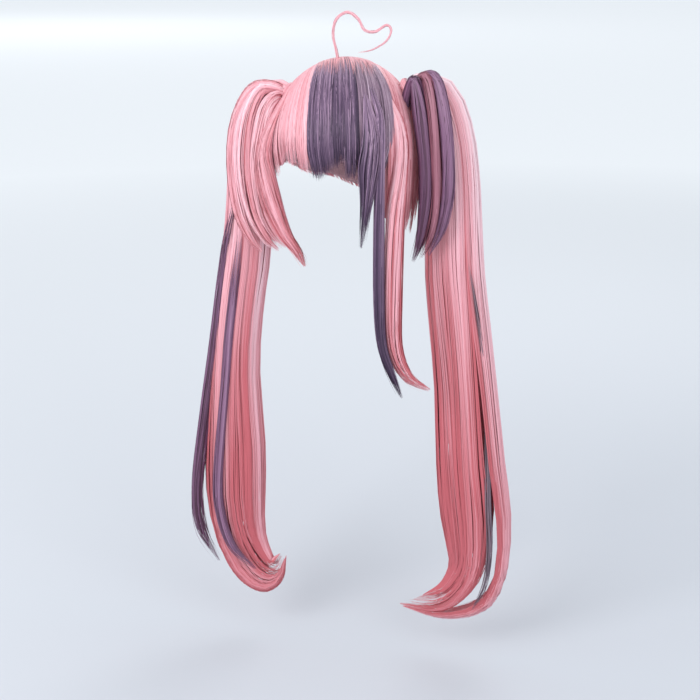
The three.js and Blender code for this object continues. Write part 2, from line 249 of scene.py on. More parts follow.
@dataclass(frozen=True)
class Dome:
    """An ellipsoid above its widest level that hangs straight down below it, in millimetres."""

    half_width: float
    half_depth: float
    height: float
    top: float

    @property
    def middle(self) -> float:
        """The widest level."""
        return self.top - self.height

    @property
    def quarter(self) -> float:
        """The distance combed from the root line to the widest level."""
        return (self.height + self.half_depth) * ARC_SHARE

    def grown(self, by: float) -> Dome:
        """Makes a dome that is larger by the same amount all over.

        Args:
            by: Amount in millimetres.

        Returns:
            The larger dome.
        """
        return Dome(self.half_width + by, self.half_depth + by, self.height + by, self.top + by)

    def fall_to(self, level: Vectors) -> Vectors:
        """Works out the distance combed from the root line to a level.

        Args:
            level: Heights in millimetres.

        Returns:
            Distances of the same shape.
        """
        rise = (level - self.middle) / self.height
        lean = self.quarter * np.arccos(np.clip(rise, -1.0, 1.0)) / QUARTER_TURN
        return np.where(rise > 0, lean, self.quarter + self.middle - level)

    def point(self, angle: Vectors, fall: Vectors, roots: Sequence[RootRow] = ROOT_LINE) -> Vectors:
        """Finds points of the dome.

        Args:
            angle: Angles about +Z in radians, 0 at the face and positive towards +X.
            fall: Distances combed down from the root line.
            roots: The root line.

        Returns:
            Points in millimetres.
        """
        table = np.array(roots, float)
        root_x = np.interp(np.degrees(angle), table[:, 0], table[:, 1]) / self.half_width
        root_y = np.interp(np.degrees(angle), table[:, 0], table[:, 2]) / self.half_depth
        out = np.sin(np.minimum(fall / self.quarter, 1.0) * QUARTER_TURN)
        x = blend(root_x, np.sin(angle), out)
        y = blend(root_y, -np.cos(angle), out)
        rise = np.sqrt(np.maximum(0.0, 1.0 - x * x - y * y))
        hang = np.maximum(0.0, fall - self.quarter)
        z = self.middle + np.where(hang > 0, -hang, self.height * rise)
        return np.stack([x * self.half_width, y * self.half_depth, z], axis=-1)

    def press(self, points: Vectors) -> Vectors:
        """Moves points straight out or in on to the dome.

        Args:
            points: Points in millimetres.

        Returns:
            The points of the dome that lie on the same rays.
        """
        scaled = (points - (0.0, 0.0, self.middle)) / (self.half_width, self.half_depth, self.height)
        above = scaled[..., 2:] >= 0
        round_about = np.linalg.norm(scaled[..., :2], axis=-1, keepdims=True)
        reach = np.where(above, np.linalg.norm(scaled, axis=-1, keepdims=True), round_about)
        factor = 1.0 / np.maximum(reach, 1e-6)
        pressed = scaled * np.concatenate([factor, factor, np.where(above, factor, 1.0)], axis=-1)
        return pressed * (self.half_width, self.half_depth, self.height) + (0.0, 0.0, self.middle)

    def combing(self, point: Vectors) -> tuple[float, float]:
        """Finds the angle and the fall of the hair that passes nearest to a point.

        Args:
            point: A point in millimetres.

        Returns:
            The angle in radians and the fall in millimetres.
        """
        angles = np.radians(np.arange(-COMBED_FROM, COMBED_FROM + 1.0))
        angle, fall = np.meshgrid(angles, np.linspace(0.0, self.quarter, FALL_STEPS))
        distance = np.linalg.norm(self.point(angle, fall) - point, axis=-1)
        nearest = np.unravel_index(np.argmin(distance), distance.shape)
        return float(angle[nearest]), float(fall[nearest])


HEAD = Dome(78.0, 98.0, 112.0, 0.0)
CAP_WALL = 1.5
CAP_OUTSIDE = HEAD.grown(CAP_WALL)
HAIR_INSIDE = CAP_OUTSIDE.grown(1.8)
HAIR_OUTSIDE = Dome(98.0, 118.0, 115.0, 18.0)

CAP_RIM = (
    EdgeRow(0, -62, -62),
    EdgeRow(55, -78, -78),
    EdgeRow(95, -118, -118),
    EdgeRow(135, -140, -140),
    EdgeRow(180, -160, -160),
)
COMBED_EDGE = (
    EdgeRow(100, -122, -130),
    EdgeRow(140, -146, -148),
    EdgeRow(180, -166, -166),
)
COMBED_FROM = 100.0


def edge_level(table: Sequence[EdgeRow], angle: Vectors) -> Vectors:
    """Reads a smooth edge level from a table.

    Args:
        table: Levels by angle from the front.
        angle: Angles in degrees, negative on the left.

    Returns:
        Levels in millimetres.
    """
    size = np.abs(angle)
    level = np.where(angle < 0, table[0].left, table[0].right).astype(float)
    for first, second in zip(table, table[1:]):
        share = smooth(first.angle, second.angle, size)
        level = np.where(angle < 0, blend(level, second.left, share), blend(level, second.right, share))
    return level


# Finishes


class Fibre(Enum):
    """The colours of fibre."""

    PINK = "pink"
    PURPLE = "purple"
    PLUM = "plum"
    ROSE = "rose"
    LILAC = "lilac"
    GREY = "grey"

    @property
    def slot(self) -> str:
        """The record's material slot that goes with the fibre."""
        return {Fibre.PLUM: "purple_hair", Fibre.ROSE: "pink_hair"}.get(self, f"{self.value}_hair")


class Nodes:
    """Adds and links the nodes of one material."""

    def __init__(self, name: str) -> None:
        """Starts a material with a surface shader.

        Args:
            name: Name of the material.
        """
        self.material = bpy.data.materials.new(name)
        self.material.use_nodes = True
        self.tree = self.material.node_tree
        self.shader = self.tree.nodes["Principled BSDF"]

    def add(self, kind: str, **inputs: object) -> bpy.types.Node:
        """Adds a node and sets its input sockets.

        Args:
            kind: Name of the node's class.
            **inputs: Values by socket name, with _ for a space, or sockets to link.

        Returns:
            The new node.
        """
        node = self.tree.nodes.new(kind)
        for name, value in inputs.items():
            self.put(node, name.replace("_", " "), value)
        return node

    def put(self, node: bpy.types.Node, socket: str | int, value: object) -> None:
        """Sets or links one input socket.

        Args:
            node: Node that owns the socket.
            socket: Name or number of the socket.
            value: A value, or an output socket to link.
        """
        if isinstance(value, bpy.types.NodeSocket):
            self.tree.links.new(value, node.inputs[socket])
        else:
            node.inputs[socket].default_value = value

    def value(self, attribute: str) -> bpy.types.NodeSocket:
        """Reads a number that is stored on the mesh.

        Args:
            attribute: Name of the number.

        Returns:
            The socket with the number.
        """
        node = self.add("ShaderNodeAttribute")
        node.attribute_name = attribute
        return node.outputs["Fac"]

    def sum(self, operation: str, first: object, second: object) -> bpy.types.NodeSocket:
        """Adds a sum of two numbers.

        Args:
            operation: Name of the sum.
            first: First number or socket.
            second: Second number or socket.

        Returns:
            The socket with the result.
        """
        node = self.tree.nodes.new("ShaderNodeMath")
        node.operation = operation
        for number, value in enumerate((first, second)):
            self.put(node, number, value)
        return node.outputs[0]

    def ramp(self, share: bpy.types.NodeSocket, stops: Stops) -> bpy.types.NodeSocket:
        """Adds a run of colours.

        Args:
            share: Socket that picks the colour.
            stops: Places and colours.

        Returns:
            The colour socket.
        """
        node = self.add("ShaderNodeValToRGB", Fac=share)
        elements = node.color_ramp.elements
        while len(elements) < len(stops):
            elements.new(0.5)
        for element, (place, colour) in zip(elements, stops):
            element.position = place
            element.color = linear(colour)
        return node.outputs["Color"]


@dataclass(frozen=True)
class FibreFinish:
    """Smooth synthetic fibre: its colours deep, also painted as shade between the locks, on most strands and
    on the palest ones.
    """

    deep: Colour
    body: Colour
    pale: Colour
    roughness: float = 0.4
    roughness_swing: float = 0.08
    shine: float = 0.5
    sheen: float = 0.03
    relief: float = 0.15
    relief_depth: float = 0.2
    # Painted shade low down on long hair: how much deeper the tint gets, and the levels in metres over which
    # it comes in
    painted_low_shade: float = 0.25
    painted_low_levels: tuple[float, float] = (-0.55, -0.1)
    ends: float = 0.0
    ends_from: float = 0.4
    drift_scale: tuple[float, float] = (60.0, 9.0)
    drift_swing: float = 0.35
    streak_scale: tuple[float, float, float] = (700.0, 700.0, 14.0)
    streak_swing: float = 0.62

    def stops(self) -> Stops:
        """Lists the run of colours from deep to pale.

        Returns:
            Places and colours.
        """
        return (0.0, self.deep), (MID_TINT, self.body), (1.0, self.pale)

    def strand_material(self, name: str) -> bpy.types.Material:
        """Makes the finish of single strands, which store a tint and their place along the strand.

        Args:
            name: Name of the material.

        Returns:
            The material.
        """
        nodes = Nodes(name)
        tint = nodes.value("tint")
        along = nodes.value("along")
        by_tint, by_place = self.drift_scale
        place = nodes.add("ShaderNodeCombineXYZ", X=nodes.sum("MULTIPLY", tint, by_tint))
        nodes.put(place, "Y", nodes.sum("MULTIPLY", along, by_place))
        drift = nodes.add("ShaderNodeTexNoise", Vector=place.outputs[0], Scale=1.0, Detail=2.0)
        swing = nodes.sum("SUBTRACT", drift.outputs["Fac"], MID_TINT)
        swing = nodes.sum("MULTIPLY", swing, self.drift_swing)
        share = nodes.sum("ADD", nodes.sum("ADD", tint, swing), self.low(nodes))
        if self.ends:
            before = nodes.sum("SUBTRACT", self.ends_from, along)
            share = nodes.sum("ADD", share, nodes.sum("MULTIPLY", before, self.ends))
        nodes.put(nodes.shader, "Base Color", nodes.ramp(share, self.stops()))
        self.dress(nodes, drift.outputs["Fac"])
        return nodes.material

    def core_material(self, name: str) -> bpy.types.Material:
        """Makes the finish of the hair under the strands: streaked down its length, and deeper as painted
        shade.

        Args:
            name: Name of the material.

        Returns:
            The material.
        """
        nodes = Nodes(name)
        coordinates = nodes.add("ShaderNodeTexCoord").outputs["Object"]
        stretch = nodes.add("ShaderNodeMapping", Vector=coordinates, Scale=self.streak_scale)
        streaks = nodes.add("ShaderNodeTexNoise", Vector=stretch.outputs[0], Scale=1.0, Detail=3.0)
        # The streaks keep the tint mostly below the strands' middle tint: painted shade where the core shows
        # through
        swing = nodes.sum("MULTIPLY", streaks.outputs["Fac"], self.streak_swing)
        share = nodes.sum("ADD", swing, self.low(nodes))
        nodes.put(nodes.shader, "Base Color", nodes.ramp(share, self.stops()))
        self.dress(nodes, streaks.outputs["Fac"])
        return nodes.material

    def low(self, nodes: Nodes) -> bpy.types.NodeSocket:
        """Paints shade on long hair, darker the lower it hangs.

        Args:
            nodes: Nodes of the material.

        Returns:
            A socket with the change of tint.
        """
        coordinates = nodes.add("ShaderNodeTexCoord").outputs["Object"]
        level = nodes.add("ShaderNodeSeparateXYZ", Vector=coordinates).outputs["Z"]
        bottom, top = self.painted_low_levels
        change = nodes.add("ShaderNodeMapRange", Value=level, From_Min=bottom, From_Max=top)
        nodes.put(change, "To Min", -self.painted_low_shade)
        nodes.put(change, "To Max", 0.0)
        return change.outputs["Result"]

    def dress(self, nodes: Nodes, streaks: bpy.types.NodeSocket) -> None:
        """Sets the gloss, sheen and fine relief.

        Args:
            nodes: Nodes of the material.
            streaks: Socket that varies from fibre to fibre.
        """
        rough = nodes.add("ShaderNodeMapRange", Value=streaks)
        nodes.put(rough, "To Min", self.roughness - self.roughness_swing)
        nodes.put(rough, "To Max", self.roughness + self.roughness_swing)
        depth = self.relief_depth * MM
        relief = nodes.add("ShaderNodeBump", Height=streaks, Strength=self.relief, Distance=depth)
        nodes.put(nodes.shader, "Roughness", rough.outputs["Result"])
        nodes.put(nodes.shader, "Normal", relief.outputs["Normal"])
        nodes.put(nodes.shader, "Specular IOR Level", self.shine)
        nodes.put(nodes.shader, "Sheen Weight", self.sheen)


FINISHES = {
    Fibre.PINK: FibreFinish((198, 97, 106), (241, 176, 187), (254, 222, 230), painted_low_shade=0.52),
    Fibre.ROSE: FibreFinish((122, 60, 78), (150, 90, 108), (184, 126, 142)),
    Fibre.PURPLE: FibreFinish((50, 35, 58), (106, 82, 110), (180, 148, 174), ends=0.5, shine=0.3),
    Fibre.PLUM: FibreFinish((82, 46, 70), (127, 87, 119), (170, 130, 160), painted_low_shade=0.1, ends=0.12),
    Fibre.LILAC: FibreFinish((88, 68, 88), (148, 120, 140), (206, 180, 198), ends=0.15, shine=0.3),
    Fibre.GREY: FibreFinish((96, 78, 92), (146, 122, 134), (196, 168, 178)),
}


class Wardrobe:
    """Makes each material once and hands it out."""

    def __init__(self) -> None:
        """Starts with no materials."""
        self.made: dict[str, bpy.types.Material] = {}

    def strands(self, fibre: Fibre) -> bpy.types.Material:
        """Hands out the finish of single strands.

        Args:
            fibre: Colour of the fibre.

        Returns:
            The material.
        """
        return self.once(f"{fibre.value}_strands", FINISHES[fibre].strand_material)

    def core(self, fibre: Fibre) -> bpy.types.Material:
        """Hands out the finish of the hair under the strands.

        Args:
            fibre: Colour of the fibre.

        Returns:
            The material.
        """
        return self.once(f"{fibre.value}_core", FINISHES[fibre].core_material)

    def once(self, name: str, make: Callable[[str], bpy.types.Material]) -> bpy.types.Material:
        """Makes a material unless it has been made.

        Args:
            name: Name of the material.
            make: What makes it.

        Returns:
            The material.
        """
        if name not in self.made:
            self.made[name] = make(name)
        return self.made[name]


# Strands

# A strand's strip of the map: how much of it is filled, where its sides lie and how long they are, and the
# middles, half width and half height of the rings for its two ends
STRIP_FILL = 0.9
SIDES_FROM, SIDES_LONG = 0.02, 0.96
END_MIDDLES = (0.01, 0.99)
END_WIDE, END_HIGH = 0.4, 0.008


@dataclass(frozen=True)
class Strands:
    """Middle lines of strands in millimetres, with half widths, the way that they face, and tints."""

    points: Vectors
    half: Vectors
    face: Vectors
    tint: Vectors
    flat: float = 0.4
    sides: int = 3
    # Painted shade: how much deeper the corners on a strand's underside are tinted
    painted_underside_shade: float = 0.06
    sheet: float = 2.2

    def rings(self) -> tuple[Vectors, Vectors, Vectors]:
        """Works out the rings of points round the strands.

        Returns:
            Points in metres, directions out of the strand, and directions out of the lock, by strand, place
            along it and side.
        """
        way = unit(np.gradient(self.points, axis=1))
        across = unit(np.cross(self.face, way))
        out = np.cross(way, across)
        turn = TURN * np.arange(self.sides) / self.sides + QUARTER_TURN
        sideways = across[:, :, None] * np.cos(turn)[:, None]
        ring = sideways + out[:, :, None] * np.sin(turn)[:, None] * self.flat
        points = (self.points[:, :, None] + ring * self.half[:, :, None, None]) * MM
        return points, unit(ring), np.broadcast_to(out[:, :, None], ring.shape)

    def normals(self, ring: Vectors, out: Vectors) -> Vectors:
        """Leans normals towards the way that the lock faces, so that strands shade together as a soft sheet.

        Args:
            ring: Directions out of the strand.
            out: Directions out of the lock.

        Returns:
            Normals of the faces' corners, in the order of the faces.
        """
        number = np.arange(self.sides)
        under = (number > 0) & (number < self.sides - 1)
        lean = np.where(under, -self.sheet, self.sheet)[None, None, :, None, None]
        picked = self.corners()
        sides = unit(ring.reshape(-1, 3)[picked] + out.reshape(-1, 3)[picked] * lean)
        ends = ring.reshape(-1, 3)[self.ends()]
        return np.concatenate([sides.reshape(-1, 3), ends.reshape(-1, 3)])

    def corners(self) -> Vectors:
        """Numbers the corners of the side faces, by strand, step, side and corner."""
        count, steps = self.half.shape
        index = np.arange(count * steps * self.sides).reshape(count, steps, self.sides)
        after = np.roll(index, -1, axis=2)
        return np.stack([index[:, :-1], after[:, :-1], after[:, 1:], index[:, 1:]], axis=-1)

    def ends(self) -> Vectors:
        """Numbers the corners of the root and tip faces, by end and strand."""
        count, steps = self.half.shape
        index = np.arange(count * steps * self.sides).reshape(count, steps, self.sides)
        return np.stack([index[:, 0, ::-1], index[:, -1]])

    def maps(self, rank: Vectors, total: int) -> tuple[Vectors, Vectors]:
        """Lays each strand out as its own strip, pale ones beside pale ones.

        Args:
            rank: Place of each strand among all those of the piece.
            total: Number of strands in the piece.

        Returns:
            Map places of the side faces' corners and of the end faces' corners.
        """
        count, steps = self.half.shape
        strip = STRIP_FILL / total
        start = (rank / total)[:, None, None, None]
        side = np.arange(self.sides)[None, None, :, None] + np.array([0, 1, 1, 0])
        step = np.arange(steps - 1)[None, :, None, None] + np.array([0, 0, 1, 1])
        shape = (count, steps - 1, self.sides, 4)
        across = np.broadcast_to(start + strip * side / self.sides, shape)
        down = np.broadcast_to(SIDES_FROM + SIDES_LONG * step / (steps - 1), shape)
        turn = TURN * np.arange(self.sides) / self.sides
        end_across = start[:, :, 0, 0] + strip * (0.5 + END_WIDE * np.cos(turn))
        end_down = np.stack([middle + END_HIGH * np.sin(turn) for middle in END_MIDDLES])
        both = (2, count, self.sides)
        ends = [np.broadcast_to(end_across, both), np.broadcast_to(end_down[:, None], both)]
        return np.stack([across, down], axis=-1), np.stack(ends, axis=-1)


def strand_object(name: str, sets: Sequence[Strands]) -> bpy.types.Object:
    """Joins sets of strands into one mesh.

    Args:
        name: Name of the object.
        sets: Sets of strands.

    Returns:
        The new object, at the origin.
    """
    total = sum(len(each.tint) for each in sets)
    tints = np.concatenate([each.tint for each in sets])
    ranks = np.split(np.argsort(np.argsort(tints)), np.cumsum([len(each.tint) for each in sets])[:-1])
    vertices, normals, faces, sizes, maps, tint, along = [], [], [], [], [], [], []
    base = 0
    for each, rank in zip(sets, ranks):
        rings, ring_out, lock_out = each.rings()
        count, steps, sides, _ = rings.shape
        side_map, end_map = each.maps(rank, total)
        vertices.append(rings.reshape(-1, 3))
        normals.append(each.normals(ring_out, lock_out))
        faces += [base + each.corners().ravel(), base + each.ends().ravel()]
        sizes += [np.full(count * (steps - 1) * sides, 4), np.full(2 * count, sides)]
        maps += [side_map.reshape(-1, 2), end_map.reshape(-1, 2)]
        # Corners on each strand's underside are tinted deeper, as painted shade
        shade = np.where(np.arange(sides) == 0, 0.0, each.painted_underside_shade)
        tint.append(np.repeat(each.tint, steps * sides) - np.tile(shade, count * steps))
        along.append(np.tile(np.repeat(np.linspace(0.0, 1.0, steps), sides), count))
        base += count * steps * sides
    mesh = bpy.data.meshes.new(name)
    mesh.vertices.add(base)
    mesh.vertices.foreach_set("co", np.concatenate(vertices).ravel().astype(np.float32))
    loops, totals = np.concatenate(faces), np.concatenate(sizes)
    mesh.loops.add(len(loops))
    mesh.loops.foreach_set("vertex_index", loops.astype(np.int32))
    mesh.polygons.add(len(totals))
    mesh.polygons.foreach_set("loop_start", (np.cumsum(totals) - totals).astype(np.int32))
    mesh.update(calc_edges=True)
    for label, values in (("tint", tint), ("along", along)):
        layer = mesh.attributes.new(label, "FLOAT", "POINT")
        layer.data.foreach_set("value", np.concatenate(values).astype(np.float32))
    layout = mesh.uv_layers.new(name=STRAND_MAP)
    layout.data.foreach_set("uv", np.concatenate(maps).ravel().astype(np.float32))
    mesh.shade_smooth()
    mesh.validate()
    mesh.normals_split_custom_set(np.concatenate(normals).tolist())
    return linked(name, mesh)


def linked(name: str, mesh: bpy.types.Mesh) -> bpy.types.Object:
    """Puts a mesh into the scene as an object at the origin.

    Args:
        name: Name of the object.
        mesh: Its mesh.

    Returns:
        The new object.
    """
    piece = bpy.data.objects.new(name, mesh)
    bpy.context.scene.collection.objects.link(piece)
    return piece


def finished(piece: bpy.types.Object, material: bpy.types.Material, slot: str, *nodes: str) -> None:
    """Gives a piece its material and body, and hides the parts of the nodes that it stands for.

    Args:
        piece: Object to finish.
        material: Its material.
        slot: Slot of the record that it would take its finish from; it is not used.
        *nodes: Nodes that it replaces.
    """
    piece.data.materials.append(material)
    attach(piece, BODY)
    if nodes:
        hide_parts(*nodes)
    LOG.info("%s: %d triangles", piece.name, len(piece.data.loops) - 2 * len(piece.data.polygons))


# Locks

# Step to both sides of a place that a lock's direction is read from, as a share of a row
FRAME_STEP = 0.25

# How clumps stand, drift and swell, and how strands weave and spread in them
CLUMP_JITTER = 0.25
CLUMP_PACE = (0.6, 1.6)
SWELL, SWELL_PACE = 0.6, 0.8
WEAVE_PACE = (0.4, 1.2)
CLUMP_DEPTH = 0.22
# EDGE_TURN: how fast painted light on a clump's front turns to painted shade at its sides
EDGE_TURN = 1.4

# How much of the section the hair under the strands loses towards its tip, and fills at its root
CORE_THINS, CORE_THINS_FROM = 0.75, 0.7
CORE_ROOT, CORE_ROOT_LENGTH = 0.3, 0.3

# How strands of a lock start on the head or below their first row, slim down, end and spread
HEAD_ROWS = 3
HEAD_SUNK = 0.05
LEAD_POWER, RAGGED_POWER = 0.5, 1.6
SLIM_FROM, SLIM_TO = 0.5, 0.85
SPLAY_FROM = 0.7
STRAY_SHARE, STRAY_SPLAY = 0.07, 6.0
FULL_ROOT, FINE_ROOT = 0.5, 0.15


@dataclass(frozen=True)
class LockPath:
    """The way of a lock through its rows."""

    table: tuple[LockRow, ...]

    def rows_at(self, shares: Vectors) -> Vectors:
        """Reads rows of values between those of the table.

        Args:
            shares: Places along the lock.

        Returns:
            A row of values for each share.
        """
        return through_rows(np.array(self.table, float), shares)

    def frames(self, shares: Vectors) -> tuple[Vectors, Vectors, Vectors]:
        """Finds the middle of the lock and the two directions of its section.

        Args:
            shares: Places along the lock.

        Returns:
            Middles, and the half width and half depth as vectors.
        """
        step = FRAME_STEP / len(self.table)
        here = self.rows_at(shares)
        ahead = self.rows_at(shares + step)[..., :3]
        behind = self.rows_at(shares - step)[..., :3]
        way = unit(ahead - behind)
        facing = np.radians(here[..., 5])
        face = np.stack([np.sin(facing), -np.cos(facing), np.zeros_like(facing)], axis=-1)
        across = unit(np.cross(face, way))
        through = np.cross(way, across)
        wide, deep = np.maximum(here[..., 3:4], TIP), np.maximum(here[..., 4:5], TIP)
        return here[..., :3], across * wide, through * deep

    def points(self, shares: Vectors, side: Vectors, front: Vectors) -> tuple[Vectors, Vectors]:
        """Places points in the lock's sections.

        Args:
            shares: Places along the lock.
            side: Shares of the half width.
            front: Shares of the half depth.

        Returns:
            Points, and the directions that face out of the lock there.
        """
        middle, across, through = self.frames(shares)
        offset = across * side[..., None] + through * front[..., None]
        face = unit(across) * side[..., None] * SIDE_LEAN + unit(through) * front[..., None]
        return middle + offset, unit(face)


@dataclass(frozen=True)
class Bunching:
    """How strands bunch into clumps in the section of a lock, in shares of the section or in radians."""

    strands: int
    clumps: int
    radius: float
    out: float
    rise: float = 0.08
    sway: float = 0.14
    tone: float = 0.13
    fleck: float = 0.12
    # edge: how much lighter a clump's front and deeper its sides are tinted, as painted light and shade
    edge: float = 0.12
    reach: float = 1.9
    weave: float = 0.45
    banded: bool = False


@dataclass(frozen=True)
class Bunch:
    """Strands bunched into clumps: places in the section along each strand, and tints."""

    side: Vectors
    front: Vectors
    tint: Vectors

    @classmethod
    def gathered(cls, rng: np.random.Generator, bunching: Bunching, along: Vectors) -> Bunch:
        """Spreads strands over the outer half of clumps that drift round a section.

        Args:
            rng: Source of random numbers.
            bunching: Numbers and sizes of the clumps.
            along: Places along the strands.

        Returns:
            The bunch.
        """
        count, clumps = bunching.strands, bunching.clumps
        clump = np.arange(count) % clumps
        turn = (np.arange(clumps) + rng.uniform(-CLUMP_JITTER, CLUMP_JITTER, clumps)) * TURN / clumps
        out = bunching.out + rng.uniform(-bunching.rise, bunching.rise, clumps)
        phase = rng.random(clumps)
        pace = rng.uniform(*CLUMP_PACE, clumps)
        tone = rng.normal(0.0, bunching.tone, clumps)
        if bunching.banded:
            tone = (np.roll(tone, 1) + 2 * tone + np.roll(tone, -1)) / 4
        drift = np.sin(TURN * (along[None] * pace[:, None] + phase[:, None]))
        swell = np.cos(TURN * (along[None] * pace[:, None] * SWELL_PACE + phase[:, None]))
        turns = turn[:, None] + bunching.sway * drift
        outs = out[:, None] + bunching.rise * SWELL * swell
        own = rng.uniform(-bunching.reach, bunching.reach, count)
        wave = along[None] * rng.uniform(*WEAVE_PACE, count)[:, None] + rng.random(count)[:, None]
        local = own[:, None] + bunching.weave * np.sin(TURN * wave)
        radius = bunching.radius * (1.0 - CLUMP_DEPTH * rng.random(count) ** 2)[:, None]
        side = outs[clump] * np.cos(turns[clump]) + radius * np.cos(turns[clump] + local)
        front = outs[clump] * np.sin(turns[clump]) + radius * np.sin(turns[clump] + local)
        tint = MID_TINT + tone[clump] + rng.normal(0.0, bunching.fleck, count)
        # Strands on a clump's front are tinted lighter and those at its sides deeper: painted light and shade
        tint = tint + bunching.edge * np.cos(own * EDGE_TURN)
        return cls(side, front, np.clip(tint, 0.0, 1.0))


def varied(rng: np.random.Generator, count: int, half: float, by: float = 0.25) -> Vectors:
    """Varies a half width from strand to strand.

    Args:
        rng: Source of random numbers.
        count: Number of strands.
        half: Half width in millimetres.
        by: Share that it varies by, both ways.

    Returns:
        Half widths, in a column.
    """
    return half * rng.uniform(1.0 - by, 1.0 + by, count)[:, None]


def taper(
    along: Vectors,
    root: float = FULL_ROOT,
    tip: float = 0.12,
    thin_from: float = 0.72,
    root_length: float = 0.1,
) -> Vectors:
    """Thins strands at both ends.

    Args:
        along: Places along the strands.
        root: Share of the width at the root.
        tip: Share of the width at the tip.
        thin_from: Where the thinning towards the tip starts.
        root_length: Where the thinning towards the root starts.

    Returns:
        Shares of the full width.
    """
    return blend(root, 1.0, smooth(0.0, root_length, along)) * blend(1.0, tip, smooth(thin_from, 1.0, along))


def sweep_core(
    bm: bmesh.types.BMesh, path: LockPath, scale: float, sides: int, until: float, since: float = 0.0
) -> None:
    """Sweeps the hair under the strands of a lock, from rings that are bridged.

    Args:
        bm: The bmesh to add to.
        path: Way of the lock.
        scale: Share of the lock's section that it fills.
        sides: Corners of a ring.
        until: Share of the lock's length where it ends.
        since: Share of the lock's length where it starts.
    """
    shares = np.linspace(since, until, 2 * len(path.table))
    middles, across, through = (values * MM for values in path.frames(shares))
    before: list[bmesh.types.BMEdge] = []
    for place, (middle, wide, deep) in enumerate(zip(middles, across, through)):
        way = np.cross(wide, deep)
        filled = scale * (1.0 - CORE_THINS * smooth(CORE_THINS_FROM, 1.0, shares[place] / until))
        if since:
            filled *= blend(CORE_ROOT, 1.0, smooth(0.0, CORE_ROOT_LENGTH, place / len(shares)))
        columns = [*zip(wide * filled, deep * filled, way, middle)]
        ring = Matrix([*columns, (0.0, 0.0, 0.0, 1.0)])
        cap = place in (0, len(shares) - 1)
        made = bmesh.ops.create_circle(bm, cap_ends=cap, segments=sides, radius=1.0, matrix=ring)
        corners = set(made["verts"])
        near = {edge for corner in corners for edge in corner.link_edges}
        edges = [edge for edge in near if corners.issuperset(edge.verts)]
        if before:
            bmesh.ops.bridge_loops(bm, edges=before + edges)
        before = edges


def object_of(name: str, bm: bmesh.types.BMesh) -> bpy.types.Object:
    """Turns a finished bmesh into a smooth object at the origin.

    Args:
        name: Name of the object.
        bm: The bmesh, which is freed.

    Returns:
        The new object.
    """
    bmesh.ops.recalc_face_normals(bm, faces=bm.faces)
    mesh = bpy.data.meshes.new(name)
    bm.to_mesh(mesh)
    bm.free()
    mesh.shade_smooth()
    return linked(name, mesh)


